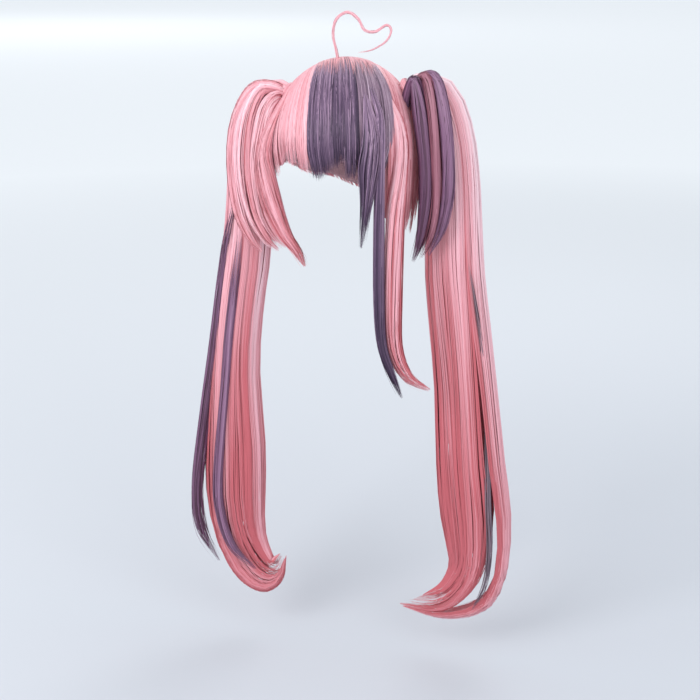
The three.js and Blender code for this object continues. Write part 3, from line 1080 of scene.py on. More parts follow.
@dataclass(frozen=True)
class Lock:
    """A free lock of hair, swept through one table or several that grow together.

    Half widths and splay are in millimetres, and the rest are shares of its section or its length.
    """

    node: str
    fibre: Fibre
    tables: tuple[tuple[LockRow, ...], ...]
    bunching: Bunching
    steps: int = 18
    half: float = 0.6
    core: float = 0.7
    core_sides: int = 12
    core_until: float = 0.74
    fullness: float = 1.0
    widen: float = 1.0
    shade: float = 0.0
    lead: float = 0.0
    late_roots: float = 0.0
    splay: float = 1.5
    ragged: float = 0.3
    slim: float = 0.0
    thin_from: float = 0.8

    @property
    def leaves(self) -> float:
        """The share of its length at which a combed lock has left the head."""
        return (HEAD_ROWS - 1) / (len(self.tables[0]) - 1) if self.lead else 0.0

    def over_head(self, shares: Vectors, bunch: Bunch) -> tuple[Vectors, Vectors]:
        """Lays strands on the head, combed from the crown as the hair round them is.

        Args:
            shares: Places along the lock, below 0 above its first row.
            bunch: Places of the strands in the section.

        Returns:
            Points, and the directions that face out of the head there.
        """
        table = self.tables[0][:HEAD_ROWS]
        combed = np.array([HAIR_OUTSIDE.combing(np.array(row[:3], float)) for row in table])
        wide = np.array([row.wide for row in table])
        place = np.clip(shares / self.leaves, 0.0, 1.0) * (HEAD_ROWS - 1)
        columns = (*combed.T, wide)
        angle, fall, reach = (np.interp(place, range(HEAD_ROWS), values) for values in columns)
        fall = fall * np.clip(1.0 + np.minimum(shares, 0.0) / self.lead, 0.0, 1.0)
        angle = angle + bunch.side * reach / HAIR_OUTSIDE.half_depth
        outer = HAIR_OUTSIDE.point(angle, fall)
        inner = HAIR_INSIDE.point(angle, fall * HAIR_INSIDE.quarter / HAIR_OUTSIDE.quarter)
        sunk = HEAD_SUNK - HEAD_SUNK * bunch.front
        return blend(outer, inner, sunk[..., None]), unit(outer - inner)

    def strands(self, rng: np.random.Generator, path: LockPath) -> Strands:
        """Lays strands along one of the lock's tables.

        Args:
            rng: Source of random numbers.
            path: Way of that table.

        Returns:
            The strands.
        """
        along = np.linspace(0.0, 1.0, self.steps)
        bunch = Bunch.gathered(rng, self.bunching, along)
        count = len(bunch.tint)
        end = 1.0 - self.ragged * rng.random(count) ** RAGGED_POWER
        begin = self.late_roots * rng.random(count) - self.lead * rng.random(count) ** LEAD_POWER
        shares = blend(begin[:, None], end[:, None], along[None])
        slim = 1.0 - self.slim * smooth(SLIM_FROM, SLIM_TO, shares)
        side, front = bunch.side * slim * self.fullness * self.widen, bunch.front * self.fullness
        points, face = path.points(np.maximum(shares, 0.0), side, front)
        if self.lead:
            on_head, head_face = self.over_head(shares, bunch)
            change = smooth(0.0, self.leaves, shares)[..., None]
            points, face = blend(on_head, points, change), unit(blend(head_face, face, change))
        middle, _, _ = path.frames(shares)
        free = np.where(rng.random(count) < STRAY_SHARE, STRAY_SPLAY, self.splay) * rng.random(count)
        loose = free[:, None] * smooth(SPLAY_FROM, 1.0, shares)
        points = points + unit(points - middle) * loose[..., None]
        root = FINE_ROOT if self.late_roots or self.lead else FULL_ROOT
        thin = taper(along, root=root, thin_from=self.thin_from)
        half = varied(rng, count, self.half) * thin[None]
        return Strands(points, half, face, np.clip(bunch.tint + self.shade, 0.0, 1.0))

    def build(self, rng: np.random.Generator, wardrobe: Wardrobe) -> None:
        """Makes the lock's strands and the hair under them.

        Args:
            rng: Source of random numbers.
            wardrobe: Source of materials.
        """
        paths = [LockPath(table) for table in self.tables]
        sets = [self.strands(rng, path) for path in paths]
        piece = strand_object(f"{self.node}_strands", sets)
        finished(piece, wardrobe.strands(self.fibre), self.fibre.slot, self.node)
        if not self.core:
            return
        bm = bmesh.new()
        for path in paths:
            sweep_core(bm, path, self.core, self.core_sides, self.core_until, self.leaves)
        finished(object_of(f"{self.node}_core", bm), wardrobe.core(self.fibre), self.fibre.slot)


FACE_LOCKS = (
    Lock(
        "cheek_lock",
        Fibre.PINK,
        (
            rows(
                (-69, -39, -23, 16, 4, -62),
                (-86, -47, -60, 22, 6, -65),
                (-94, -49, -98, 23, 8, -62),
                (-91, -52, -138, 22, 8, -45),
                (-82, -52, -170, 17, 8, -38),
                (-66, -55, -202, 12, 7, -32),
                (-49, -60, -222, 8, 5, -28),
                (-38, -66, -240, TIP, TIP, -25),
            ),
        ),
        Bunching(strands=430, clumps=12, radius=0.3, out=0.7, tone=0.1),
        lead=0.5,
        shade=-0.15,
        ragged=0.45,
        steps=20,
        fullness=1.15,
        slim=0.5,
    ),
    Lock(
        "jaw_lock",
        Fibre.PURPLE,
        (
            rows(
                (44, -74, -20, 5, 3, 31),
                (53, -90, -50, 7, 4, 31),
                (56, -98, -78, 8, 4, 30),
                (54, -103, -110, 9, 5, 28),
                (51, -103, -150, 7, 4, 26),
                (44, -100, -204, TIP, TIP, 25),
            ),
        ),
        Bunching(strands=250, clumps=9, radius=0.4, out=0.6, sway=0.05, tone=0.16, fleck=0.16, weave=0.12),
        lead=0.05,
        late_roots=0.45,
        fullness=1.2,
        widen=1.4,
        shade=0.06,
        splay=2.5,
        ragged=0.6,
        slim=0.35,
        thin_from=0.66,
    ),
    Lock(
        "long_lock_purple",
        Fibre.PURPLE,
        (
            rows(
                (46, -58, -10, 4, 3, 39),
                (61, -75, -38, 6, 4, 39),
                (65, -87, -66, 7, 4, 37),
                (66, -93, -110, 7, 5, 35),
                (65, -93, -175, 8, 6, 25),
                (65, -92, -270, 8, 6, 15),
                (69, -92, -328, 7, 5, 15),
                (81, -92, -364, 5, 4, 15),
                (96, -92, -398, TIP, TIP, 15),
            ),
        ),
        Bunching(strands=200, clumps=9, radius=0.36, out=0.64, tone=0.25, fleck=0.16),
        steps=24,
        lead=0.05,
        late_roots=0.3,
        fullness=0.86,
        shade=0.08,
    ),
    Lock(
        "long_lock_pink",
        Fibre.PINK,
        (
            rows(
                (67, -45, -23, 6, 4, 57),
                (80, -52, -52, 8, 5, 57),
                (85, -60, -85, 9, 6, 54),
                (85, -67, -120, 9, 6, 48),
                (82, -77, -172, 10, 7, 30),
                (81, -80, -270, 10, 7, 15),
                (83, -80, -334, 9, 6, 15),
                (100, -80, -372, 6, 4, 15),
                (130, -80, -388, TIP, TIP, 15),
            ),
        ),
        Bunching(strands=230, clumps=9, radius=0.36, out=0.64, tone=0.16),
        steps=24,
        lead=0.3,
        fullness=1.18,
        shade=-0.1,
    ),
)

LAYERS = (
    Lock(
        "tail_left_layer",
        Fibre.PINK,
        (
            rows(
                (-80, 2, -34, 5, 5),
                (-90, -8, -24, 6, 6),
                (-108, -20, -25, 8, 7),
                (-122, -28, -62, 9, 8),
                (-126, -30, -120, 10, 8),
                (-117, -30, -178, 9, 7),
                (-100, -32, -212, 6, 5),
                (-82, -34, -228, TIP, TIP),
            ),
            rows(
                (-80, 4, -32, 5, 5),
                (-92, -6, -20, 6, 6),
                (-118, -18, -24, 8, 7),
                (-138, -25, -66, 9, 7),
                (-143, -26, -124, 10, 7),
                (-137, -26, -180, 9, 6),
                (-122, -28, -214, 6, 5),
                (-106, -30, -232, TIP, TIP),
            ),
            rows(
                (-80, 0, -36, 5, 5),
                (-87, -12, -31, 8, 6),
                (-96, -24, -42, 11, 7),
                (-103, -31, -72, 11, 7),
                (-109, -34, -122, 9, 6),
                (-101, -36, -176, 8, 5),
                (-86, -38, -206, 5, 4),
                (-70, -40, -222, TIP, TIP),
            ),
        ),
        Bunching(strands=150, clumps=6, radius=0.42, out=0.58, tone=0.1),
        steps=20,
        fullness=1.1,
        shade=0.03,
    ),
    Lock(
        "tail_right_layer_inner",
        Fibre.PLUM,
        (
            rows(
                (79, -10, -44, 6, 4),
                (84, -17, -20, 5, 5),
                (93, -22, -8, 6, 7),
                (102, -29, -46, 9, 8),
                (110, -32, -105, 8, 8),
                (111, -32, -155, 8, 7),
                (106, -32, -200, 5, 5),
                (96, -32, -234, TIP, TIP),
            ),
        ),
        Bunching(strands=170, clumps=6, radius=0.42, out=0.58),
        steps=20,
        fullness=1.12,
        ragged=0.16,
        thin_from=0.88,
        shade=-0.08,
    ),
    Lock(
        "tail_right_layer_middle",
        Fibre.ROSE,
        (
            rows(
                (80, 2, -26, 4, 4),
                (94, -4, -8, 4, 4),
                (108, -18, -6, 6, 6),
                (119, -29, -46, 6, 8),
                (125, -32, -105, 6, 8),
                (126, -32, -155, 6, 7),
                (120, -32, -196, 5, 5),
                (106, -32, -228, TIP, TIP),
            ),
        ),
        Bunching(strands=150, clumps=5, radius=0.45, out=0.55),
        steps=20,
        fullness=1.3,
    ),
    Lock(
        "tail_right_layer_outer",
        Fibre.PLUM,
        (
            rows(
                (80, 4, -25, 4, 4),
                (96, -2, -5, 4, 4),
                (118, -16, -4, 6, 6),
                (132, -28, -46, 7, 8),
                (139, -31, -105, 7, 8),
                (139, -31, -150, 7, 7),
                (131, -31, -192, 5, 5),
                (116, -31, -224, TIP, TIP),
            ),
        ),
        Bunching(strands=160, clumps=5, radius=0.45, out=0.55),
        steps=20,
        fullness=1.2,
    ),
)

STREAKS = (
    Lock(
        "tail_left_outer_streak",
        Fibre.PLUM,
        (
            rows(
                (-146, -12, -160, 3, 3),
                (-161, -4, -215, 5, 7),
                (-171, 1, -265, 6, 8),
                (-186, 2, -356, 6, 8),
                (-205, 2, -470, 6, 8),
                (-222, 2, -590, 6, 7),
                (-217, 2, -655, 6, 6),
                (-192, 2, -705, TIP, TIP),
            ),
        ),
        Bunching(strands=130, clumps=6, radius=0.42, out=0.58),
        steps=24,
        late_roots=0.32,
        core=0.0,
        fullness=1.5,
    ),
    Lock(
        "tail_left_inner_streak",
        Fibre.PLUM,
        (
            rows(
                (-140, -12, -196, 3, 3),
                (-151, -14, -280, 5, 5),
                (-161, -15, -355, 5, 6),
                (-170, -16, -440, 5, 6),
                (-183, -16, -560, 6, 6),
                (-182, -15, -618, 6, 6),
                (-166, -13, -672, 5, 5),
                (-132, -12, -704, TIP, TIP),
            ),
        ),
        Bunching(strands=120, clumps=6, radius=0.42, out=0.58),
        steps=24,
        late_roots=0.2,
        core=0.0,
        fullness=1.3,
        shade=-0.05,
    ),
    Lock(
        "tail_right_streak",
        Fibre.GREY,
        (
            rows(
                (164, -12, -232, 2, 3),
                (180, -6, -320, 3, 5),
                (190, 3, -400, 4, 6),
                (195, 0, -480, 5, 6),
                (200, -9, -565, 6, 7),
                (204, -9, -636, 6, 6),
                (199, -9, -690, 5, 5),
                (182, -8, -732, TIP, TIP),
            ),
        ),
        Bunching(strands=80, clumps=5, radius=0.5, out=0.5, tone=0.26, fleck=0.2, reach=3.1),
        steps=22,
        half=0.45,
        late_roots=0.6,
        core=0.0,
        fullness=0.8,
    ),
)


# Tails

# How strands pass from a tail's body into its curl, end there and thin out
CURL_CHANGE = 0.5
CURL_RAGGED, CURL_RAGGED_POWER = 0.4, 1.5
TAIL_TIP, TAIL_THIN_FROM = 0.15, 0.8

# Where strands apart stand off the tail, come back to it and join its curl, and the edge of their curl
STAND_OFF, STAND_BACK, REJOIN = (0.45, 0.65), (0.8, 1.0), (0.3, 0.9)
APART_EDGE = 0.5


@dataclass(frozen=True)
class Tail:
    """A long tail whose strands run down its body and then into one of the locks of its curl.

    Half widths and the stand-off are in millimetres, and the rest are shares of its section or its length.
    """

    node: str
    body: tuple[LockRow, ...]
    curls: tuple[tuple[LockRow, ...], ...]
    bunching: Bunching = Bunching(
        strands=750,
        clumps=36,
        radius=0.13,
        out=0.87,
        rise=0.025,
        sway=0.07,
        tone=0.25,
        fleck=0.07,
        edge=0.04,
        reach=1.5,
        banded=True,
    )
    lift: float = 0.06
    apart: int = 0
    apart_lift: float = 0.2
    steps: int = 30
    half: float = 0.7
    split: float = 0.7
    leave: float = 0.8
    rejoin: float = 0.7
    stand_off: float = 7.0
    core: float = 0.91
    core_sides: int = 24
    core_until: float = 0.86

    def shares_of_curls(self, across: Vectors) -> Vectors:
        """Spreads strands over the locks of the curl, in the order in which they reach it.

        Args:
            across: Where the strands leave the body, as x.

        Returns:
            The share of each lock by lock and strand, which add up to one.
        """
        starts = np.array([curl[0].x for curl in self.curls])
        together = np.arange(self.apart, len(starts))
        order = together[np.argsort(starts[together])]
        shares = np.zeros((len(starts), len(across)))
        for place, number in enumerate(order):
            peak = np.zeros(len(order))
            peak[place] = 1.0
            shares[number] = np.interp(across, starts[order], peak)
        for number in range(self.apart):
            alone = across > starts[number] - APART_EDGE * self.curls[number][0].wide
            shares[:, alone] = 0.0
            shares[number, alone] = 1.0
        return shares

    def into_curl(self, leaving: Vectors, along: Vectors) -> tuple[Vectors, Vectors]:
        """Carries strands on into the curl, as one sheet between its locks.

        Args:
            leaving: Where the strands leave the body.
            along: Places along the curl, by strand.

        Returns:
            Points, and the directions that face out of the curl there.
        """
        shares = self.shares_of_curls(leaving[:, 0])[..., None] * np.ones_like(along)
        if self.apart:
            joining = shares[0] * self.rejoin * smooth(*REJOIN, along)
            shares[0] -= joining
            shares[1] += joining
        parts = zip(shares, self.curls)
        table = sum(share[..., None] * LockPath(curl).rows_at(along) for share, curl in parts)
        way = unit(np.gradient(table[..., :3], axis=1))
        across = unit(np.cross((0.0, -1.0, 0.0), way))
        through = np.cross(way, across)
        offset = leaving - table[:, 0, :3]
        side, front = offset[:, 0] / table[:, 0, 3], -offset[:, 1] / table[:, 0, 4]
        # Strands that leave the body outside the curl's section are drawn in to its edge
        held = (1.0 + (side**2 + front**2) ** 2) ** 0.25
        side, front = (side / held)[:, None, None], (front / held)[:, None, None]
        width, depth = np.maximum(table[..., 3:4], TIP), np.maximum(table[..., 4:5], TIP)
        points = table[..., :3] + across * side * width + through * front * depth
        return points, unit(across * side * SIDE_LEAN + through * front)

    def strands(self, rng: np.random.Generator) -> Strands:
        """Lays the tail's strands.

        Args:
            rng: Source of random numbers.

        Returns:
            The strands.
        """
        along = np.linspace(0.0, 1.0, self.steps)
        bunch = Bunch.gathered(rng, self.bunching, along)
        count = len(bunch.tint)
        body_shares = np.minimum(along / self.split * self.leave, 1.0)
        shares = np.broadcast_to(body_shares, (count, self.steps))
        points, face = LockPath(self.body).points(shares, bunch.side, bunch.front)
        leaving = np.argmin(np.abs(along - self.split))
        end = 1.0 - CURL_RAGGED * rng.random(count) ** CURL_RAGGED_POWER
        curl_along = np.clip((along[None] - self.split) / (1.0 - self.split), 0.0, 1.0) * end[:, None]
        change = smooth(0.0, CURL_CHANGE, curl_along)[..., None]
        to, to_face = self.into_curl(points[:, leaving], curl_along)
        alone = self.shares_of_curls(points[:, leaving, 0])[0] if self.apart else np.zeros(count)
        points, face = blend(points, to, change), unit(blend(face, to_face, change))
        off = self.stand_off * alone[:, None] * smooth(*STAND_OFF, along)
        points[..., 0] += off * (1.0 - smooth(*STAND_BACK, along))
        half = varied(rng, count, self.half) * taper(along, tip=TAIL_TIP, thin_from=TAIL_THIN_FROM)[None]
        tint = bunch.tint + self.lift + self.apart_lift * (alone == 1.0)
        return Strands(points, half, face, np.clip(tint, 0.0, 1.0))

    def build(self, rng: np.random.Generator, wardrobe: Wardrobe) -> None:
        """Makes the tail's strands and the hair under them.

        Args:
            rng: Source of random numbers.
            wardrobe: Source of materials.
        """
        piece = strand_object(f"{self.node}_strands", [self.strands(rng)])
        finished(piece, wardrobe.strands(Fibre.PINK), Fibre.PINK.slot, self.node)
        bm = bmesh.new()
        sweep_core(bm, LockPath(self.body), self.core, self.core_sides, self.core_until)
        finished(object_of(f"{self.node}_core", bm), wardrobe.core(Fibre.PINK), Fibre.PINK.slot)


TAILS = (
    Tail(
        "tail_left",
        rows(
            (-72, 8, -38, 14, 14),
            (-90, 9, -28, 16, 16),
            (-112, 11, -42, 24, 22),
            (-127, 14, -80, 28, 26),
            (-134, 15, -130, 30, 28),
            (-138, 15, -190, 31, 29),
            (-144, 15, -250, 33, 30),
            (-155, 15, -320, 33, 31),
            (-164, 15, -410, 35, 31),
            (-166, 15, -520, 43, 31),
            (-168, 15, -600, 44, 29),
            (-162, 14, -660, 36, 24),
            (-144, 13, -702, 20, 16),
        ),
        (
            rows(
                (-190, 10, -590, 12, 16),
                (-190, 8, -655, 14, 15),
                (-164, 6, -712, 14, 13),
                (-128, 5, -738, 11, 10),
                (-101, 4, -722, 6, 6),
                (-91, 4, -686, TIP, TIP),
            ),
            rows(
                (-160, 12, -610, 16, 18),
                (-152, 12, -670, 16, 16),
                (-132, 11, -708, 12, 12),
                (-108, 10, -718, 7, 7),
                (-95, 10, -694, TIP, TIP),
            ),
            rows(
                (-150, 18, -620, 16, 16),
                (-136, 18, -676, 14, 13),
                (-118, 17, -704, 8, 8),
                (-103, 16, -690, TIP, TIP),
            ),
        ),
    ),
    Tail(
        "tail_right",
        rows(
            (73, 8, -30, 14, 14),
            (92, 9, -17, 16, 16),
            (117, 11, -30, 26, 22),
            (132, 14, -74, 30, 26),
            (138, 15, -130, 33, 28),
            (140, 15, -190, 36, 29),
            (142, 15, -250, 39, 30),
            (149, 15, -320, 40, 31),
            (158, 15, -410, 40, 31),
            (167, 15, -520, 44, 31),
            (177, 15, -600, 46, 29),
            (182, 14, -664, 38, 24),
            (172, 13, -712, 22, 16),
        ),
        (
            rows(
                (205, 10, -600, 12, 16),
                (212, 8, -664, 13, 15),
                (196, 6, -722, 15, 13),
                (160, 5, -752, 13, 11),
                (124, 4, -762, 8, 7),
                (92, 4, -752, TIP, TIP),
            ),
            rows(
                (175, 12, -630, 18, 18),
                (174, 12, -684, 17, 16),
                (154, 11, -724, 13, 12),
                (122, 10, -744, 8, 7),
                (76, 10, -744, TIP, TIP),
            ),
            rows(
                (158, 18, -620, 16, 16),
                (158, 18, -676, 14, 13),
                (140, 17, -712, 9, 8),
                (108, 16, -730, TIP, TIP),
            ),
        ),
        apart=1,
    ),
)


# Hair on the head

# How strands stand in a panel: angles in degrees, levels in millimetres, and shares of the way down
MARGIN = 0.4
CLUMP_WIDTHS = (0.4, 1.7)
CLUMP_DROP, STRAND_DROP = 4.0, 9.0
PALE_LIFT = 0.3
ROOT_RANGE = (0.75, 1.1)
EARLY_SHARE, LATE_REACH, LATE_POWER = 0.45, 0.4, 1.5
PULL_RANGE = (0.3, 1.0)
WANDER, WANDER_PACE, WANDER_SPAN = 0.9, (0.5, 1.3), (0.1, 0.5)
SPILL_RISE, SPILL_RETURN, SPILL_POWER = (0.15, 0.6), (0.8, 1.0), 1.5
SPILL_LIFT, SPILL_EDGE = 0.024, 5.0
LAYER_ROOT, LAYER_SPAN, LAYER_POWER = 0.6, (0.2, 0.55), 1.4
ROOT_SUNK, ROOT_LENGTH = 0.3, 0.1
CROWN_WIDTH, CROWN_WIDENS = 0.55, 0.8
THIN_ROOT_LENGTH = 0.12
# SHADED_BY and SHADED_OVER: how deep, and over how many degrees, the painted shade at the sides of the head
# comes in
SHADED_BY, SHADED_OVER = 0.3, 12.0

# How wisps past the end of a panel lie
WISP_DENSITY, WISP_STEPS, WISP_LEAN = 6, 8, 1.5
WISP_START, WISP_ENDS = 0.1, (0.24, 0.46)
WISP_LIFT, WISP_ROOT_LENGTH = 0.03, 0.16
WISP_TINT, WISP_FLECK = 0.42, 0.1
WISP_TIP, WISP_THIN_FROM = 0.1, 0.45
WISP_SHEET = (0.03, 0.42)

# How the sheet of hair under the strands of a panel lies
SHEET_THICKNESS, SHEET_SUNK = 4.0, 0.42
SHEET_MARGIN, SHEET_TOP, SHEET_SHORT = 0.6, 0.06, 15.0
SHEET_COLUMN, SHEET_COLUMNS, SHEET_LINES = 3.0, 6, 18


def thicken(bm: bmesh.types.BMesh) -> None:
    """Closes a sheet that lies on the head into a shell, towards the middle of the head.

    Args:
        bm: The sheet.
    """
    middle = Vector((0.0, 0.0, HAIR_OUTSIDE.middle * MM))
    sheet = [*bm.verts, *bm.edges, *bm.faces]
    made = bmesh.ops.extrude_face_region(bm, geom=sheet, use_keep_orig=True)
    for vertex in made["geom"]:
        if isinstance(vertex, bmesh.types.BMVert):
            vertex.co += (middle - vertex.co).normalized() * SHEET_THICKNESS * MM


class Clumps(NamedTuple):
    """How many clumps there are and, by strand, its clump's number, middle, width and its place there."""

    total: int
    number: Vectors
    middle: Vectors
    width: Vectors
    away: Vectors


@dataclass(frozen=True)
class Panel:
    """Hair that falls from the crown over one stretch of the head, in locks with a tip of their own.

    Angles are in degrees, half widths, notches and jags in millimetres, and the rest are shares.
    """

    node: str
    fibre: Fibre
    start: float
    locks: tuple[PanelLock, ...]
    density: float = 10.0
    clump: float = 3.4
    steps: int = 17
    half: float = 0.55
    relief: float = 0.03
    layers: float = 0.1
    tone: float = 0.06
    fleck: float = 0.1
    pale_share: float = 0.06
    feather: float = 0.0
    valley: float = 0.3
    notch: float = 13.0
    jag: float = 8.0
    # Painted shade between clumps: how much deeper strands are tinted towards their clump's edges
    edge: float = 0.05
    begin: float = 0.0
    gather: float = 0.75
    gather_from: float = 0.4
    spill: tuple[float, float] = (0.0, 0.0)
    wisps_to: float | None = None
    # Painted shade: the angle from the front past which strands are tinted deeper
    shaded_from: float = 66.0
    shade: float = 0.0
    thin_end: float = 0.45
    end_power: float = 7.0

    @property
    def end(self) -> float:
        """The angle where the panel ends."""
        return self.locks[-1].end

    def lock_at(self, angle: Vectors) -> tuple[Vectors, Vectors]:
        """Finds the lock that an angle lies in.

        Args:
            angle: Angles in degrees.

        Returns:
            Levels of the locks' tips, and how near the angles are to the locks' middles, from 0 to 1.
        """
        ends = np.array([lock.end for lock in self.locks])
        tips = np.array([lock.tip for lock in self.locks])
        starts = np.concatenate([[self.start], ends[:-1]])
        index = np.minimum(np.searchsorted(ends, angle), len(ends) - 1)
        share = np.clip((angle - starts[index]) / (ends[index] - starts[index]), 0.0, 1.0)
        return tips[index], np.sin(math.pi * share)

    def place(
        self, angle: Vectors, down: Vectors, level: Vectors, crest: Vectors, sunk: Vectors
    ) -> tuple[Vectors, Vectors]:
        """Places points in the thickness of the panel.

        Args:
            angle: Angles in degrees.
            down: Shares of the way from the crown to the level.
            level: Levels of the ends.
            crest: How near the strands are to the middles of their locks.
            sunk: Shares of the thickness that the points lie below the outer wall.

        Returns:
            Points, and the directions that face out of the head there.
        """
        turned = np.radians(angle)
        fall_out = HAIR_OUTSIDE.fall_to(level) * down
        fall_in = HAIR_INSIDE.fall_to(level) * down
        outer = HAIR_OUTSIDE.point(turned, fall_out)
        inner = HAIR_INSIDE.point(turned, fall_in)
        full = (1.0 - self.valley * (1.0 - crest) * down**2) * (1.0 - self.thin_end * down**self.end_power)
        depth = 1.0 - full * (1.0 - sunk)
        return blend(outer, inner, depth[..., None]), unit(outer - inner)

    def clumped(self, rng: np.random.Generator, spread: Vectors, angle: Vectors) -> Clumps:
        """Parts the panel into clumps of uneven width.

        Args:
            rng: Source of random numbers.
            spread: The strands' places, as shares of the panel's width.
            angle: The strands' angles in degrees.

        Returns:
            The clumps.
        """
        whole = self.end - self.start
        total = max(1, round(whole / self.clump))
        edges = np.cumsum(rng.uniform(*CLUMP_WIDTHS, total))
        edges = np.concatenate([[0.0], edges / edges[-1]])
        number = np.clip(np.searchsorted(edges, spread) - 1, 0, total - 1)
        middle = blend(self.start, self.end, (edges[number] + edges[number + 1]) / 2)
        width = whole * (edges[number + 1] - edges[number])
        return Clumps(total, number, middle, width, np.abs(angle - middle) / (width / 2))

    def ways_down(self, rng: np.random.Generator, count: int, along: Vectors) -> Vectors:
        """Starts some strands at the root line and the rest further down.

        Args:
            rng: Source of random numbers.
            count: Number of strands.
            along: Places along the strands.

        Returns:
            Shares of the way from the crown to the end, by strand and point.
        """
        begin = self.begin * rng.uniform(*ROOT_RANGE, count)
        early = rng.random(count) < EARLY_SHARE
        late = begin + rng.random(count) ** LATE_POWER * LATE_REACH
        return blend(np.where(early, begin, late)[:, None], 1.0, along[None])

    def combed(self, rng: np.random.Generator, clumps: Clumps, angle: Vectors, down: Vectors) -> Vectors:
        """Draws strands together in their clumps on the way down, and lets them wander a little.

        Args:
            rng: Source of random numbers.
            clumps: The clumps.
            angle: The strands' angles in degrees.
            down: Shares of the way down, by strand and point.

        Returns:
            Angles in degrees, by strand and point.
        """
        count = len(angle)
        pull = self.gather * rng.uniform(*PULL_RANGE, count)[:, None] * smooth(self.gather_from, 1.0, down)
        pace = rng.uniform(*WANDER_PACE, count)[:, None]
        wander = WANDER * np.sin(TURN * (down * pace + rng.random(count)[:, None]))
        turned = angle[:, None] + (clumps.middle - angle)[:, None] * pull
        turned = turned + wander * smooth(*WANDER_SPAN, down)
        return np.clip(turned, self.start + MARGIN, self.end - MARGIN)

    def spilt(self, spread: Vectors, down: Vectors) -> Vectors:
        """Bulges strands over the panels on both sides.

        Args:
            spread: The strands' places, as shares of the panel's width.
            down: Shares of the way down, by strand and point.

        Returns:
            Changes of angle in degrees, by strand and point.
        """
        before, after = self.spill
        bulge = smooth(*SPILL_RISE, down) * (1.0 - smooth(*SPILL_RETURN, down))
        reach = after * spread**SPILL_POWER - before * (1.0 - spread) ** SPILL_POWER
        return reach[:, None] * bulge

    def strands(self, rng: np.random.Generator) -> Strands:
        """Lays the panel's strands.

        Args:
            rng: Source of random numbers.

        Returns:
            The strands.
        """
        count = int((self.end - self.start) * self.density)
        spread = (np.arange(count) + rng.random(count)) / count
        angle = blend(self.start + MARGIN, self.end - MARGIN, spread)
        stray = self.feather * rng.normal(0.0, 1.0, count)
        tip, crest = self.lock_at(angle)
        clumps = self.clumped(rng, spread, angle)
        lift = rng.uniform(0.0, self.relief, clumps.total)[clumps.number]
        tone = rng.normal(0.0, self.tone, clumps.total)[clumps.number]
        tone = tone + PALE_LIFT * (rng.random(count) < self.pale_share)
        drop = rng.uniform(-CLUMP_DROP, CLUMP_DROP, clumps.total)[clumps.number]
        drop = drop + self.jag * clumps.away**2
        level = tip + self.notch * (1.0 - crest) + drop + STRAND_DROP * rng.random(count) ** 2
        along = np.linspace(0.0, 1.0, self.steps)
        down = self.ways_down(rng, count, along)
        turned = self.combed(rng, clumps, angle, down) + stray[:, None]
        rim = np.clip(np.abs(turned - clumps.middle[:, None]) / (clumps.width[:, None] / 2), 0.0, 1.0)
        spilt = self.spilt(spread, down)
        turned = turned + spilt
        layer = rng.random(count)[:, None] ** LAYER_POWER * self.layers
        uneven = layer * (1.0 - LAYER_ROOT) + lift[:, None] + self.relief * rim**2
        sunk = layer * LAYER_ROOT + uneven * smooth(*LAYER_SPAN, down)
        over = 1.0 - smooth(0.0, SPILL_EDGE, np.minimum(turned - self.start, self.end - turned))
        sunk = sunk - SPILL_LIFT * np.abs(spilt) * over
        sunk = sunk + ROOT_SUNK * (1.0 - smooth(0.0, ROOT_LENGTH, down))
        points, face = self.place(turned, down, level[:, None], crest[:, None], sunk)
        narrow = np.minimum(1.0, CROWN_WIDTH + CROWN_WIDENS * down)
        thin = taper(along, root_length=THIN_ROOT_LENGTH)
        half = varied(rng, count, self.half) * narrow * thin[None]
        # Strands towards the sides of the head are tinted deeper: painted shade in the recess behind the side
        # locks
        painted_flank_shade = SHADED_BY * smooth(self.shaded_from, self.shaded_from + SHADED_OVER, np.abs(angle))
        tint = MID_TINT + self.shade + tone + rng.normal(0.0, self.fleck, count)
        # Strands towards their clump's edges are tinted deeper: painted shade between clumps
        tint = tint - self.edge * clumps.away**2 - painted_flank_shade
        return Strands(points, half, face, np.clip(tint, 0.0, 1.0))

    def wisps(self, rng: np.random.Generator) -> Strands:
        """Lays short strands past the panel's end that thin out over the panels beside it, below the crown.

        Args:
            rng: Source of random numbers.

        Returns:
            The strands.
        """
        count = int((self.wisps_to - self.end) * WISP_DENSITY)
        angle = blend(self.end, self.wisps_to, (np.arange(count) + rng.random(count)) / count)
        along = np.linspace(0.0, 1.0, WISP_STEPS)
        begin = WISP_START * rng.random(count)[:, None]
        down = blend(begin, rng.uniform(*WISP_ENDS, count)[:, None], along[None])
        turned = angle[:, None] + rng.normal(0.0, WISP_LEAN, count)[:, None] * along[None]
        level = np.full((count, 1), self.locks[-1].tip)
        sunk = WISP_LIFT * rng.random(count)[:, None] - WISP_LIFT
        sunk = sunk + ROOT_SUNK * (1.0 - smooth(0.0, WISP_ROOT_LENGTH, down))
        points, face = self.place(turned, down, level, np.ones((count, 1)), sunk)
        half = varied(rng, count, self.half) * taper(along, tip=WISP_TIP, thin_from=WISP_THIN_FROM)
        tint = WISP_TINT + self.shade + rng.normal(0.0, WISP_FLECK, count)
        return Strands(points, half, face, np.clip(tint, 0.0, 1.0))

    def core(self) -> bpy.types.Object:
        """Makes the hair under the strands, as thick sheets.

        Returns:
            The new object.
        """
        bm = bmesh.new()
        angles = (self.start + SHEET_MARGIN, self.end - SHEET_MARGIN)
        self.sheet(bm, angles, (SHEET_TOP + self.begin, 1.0))
        if self.wisps_to is not None:
            self.sheet(bm, (angles[1], self.wisps_to), WISP_SHEET)
        thicken(bm)
        return object_of(f"{self.node}_core", bm)

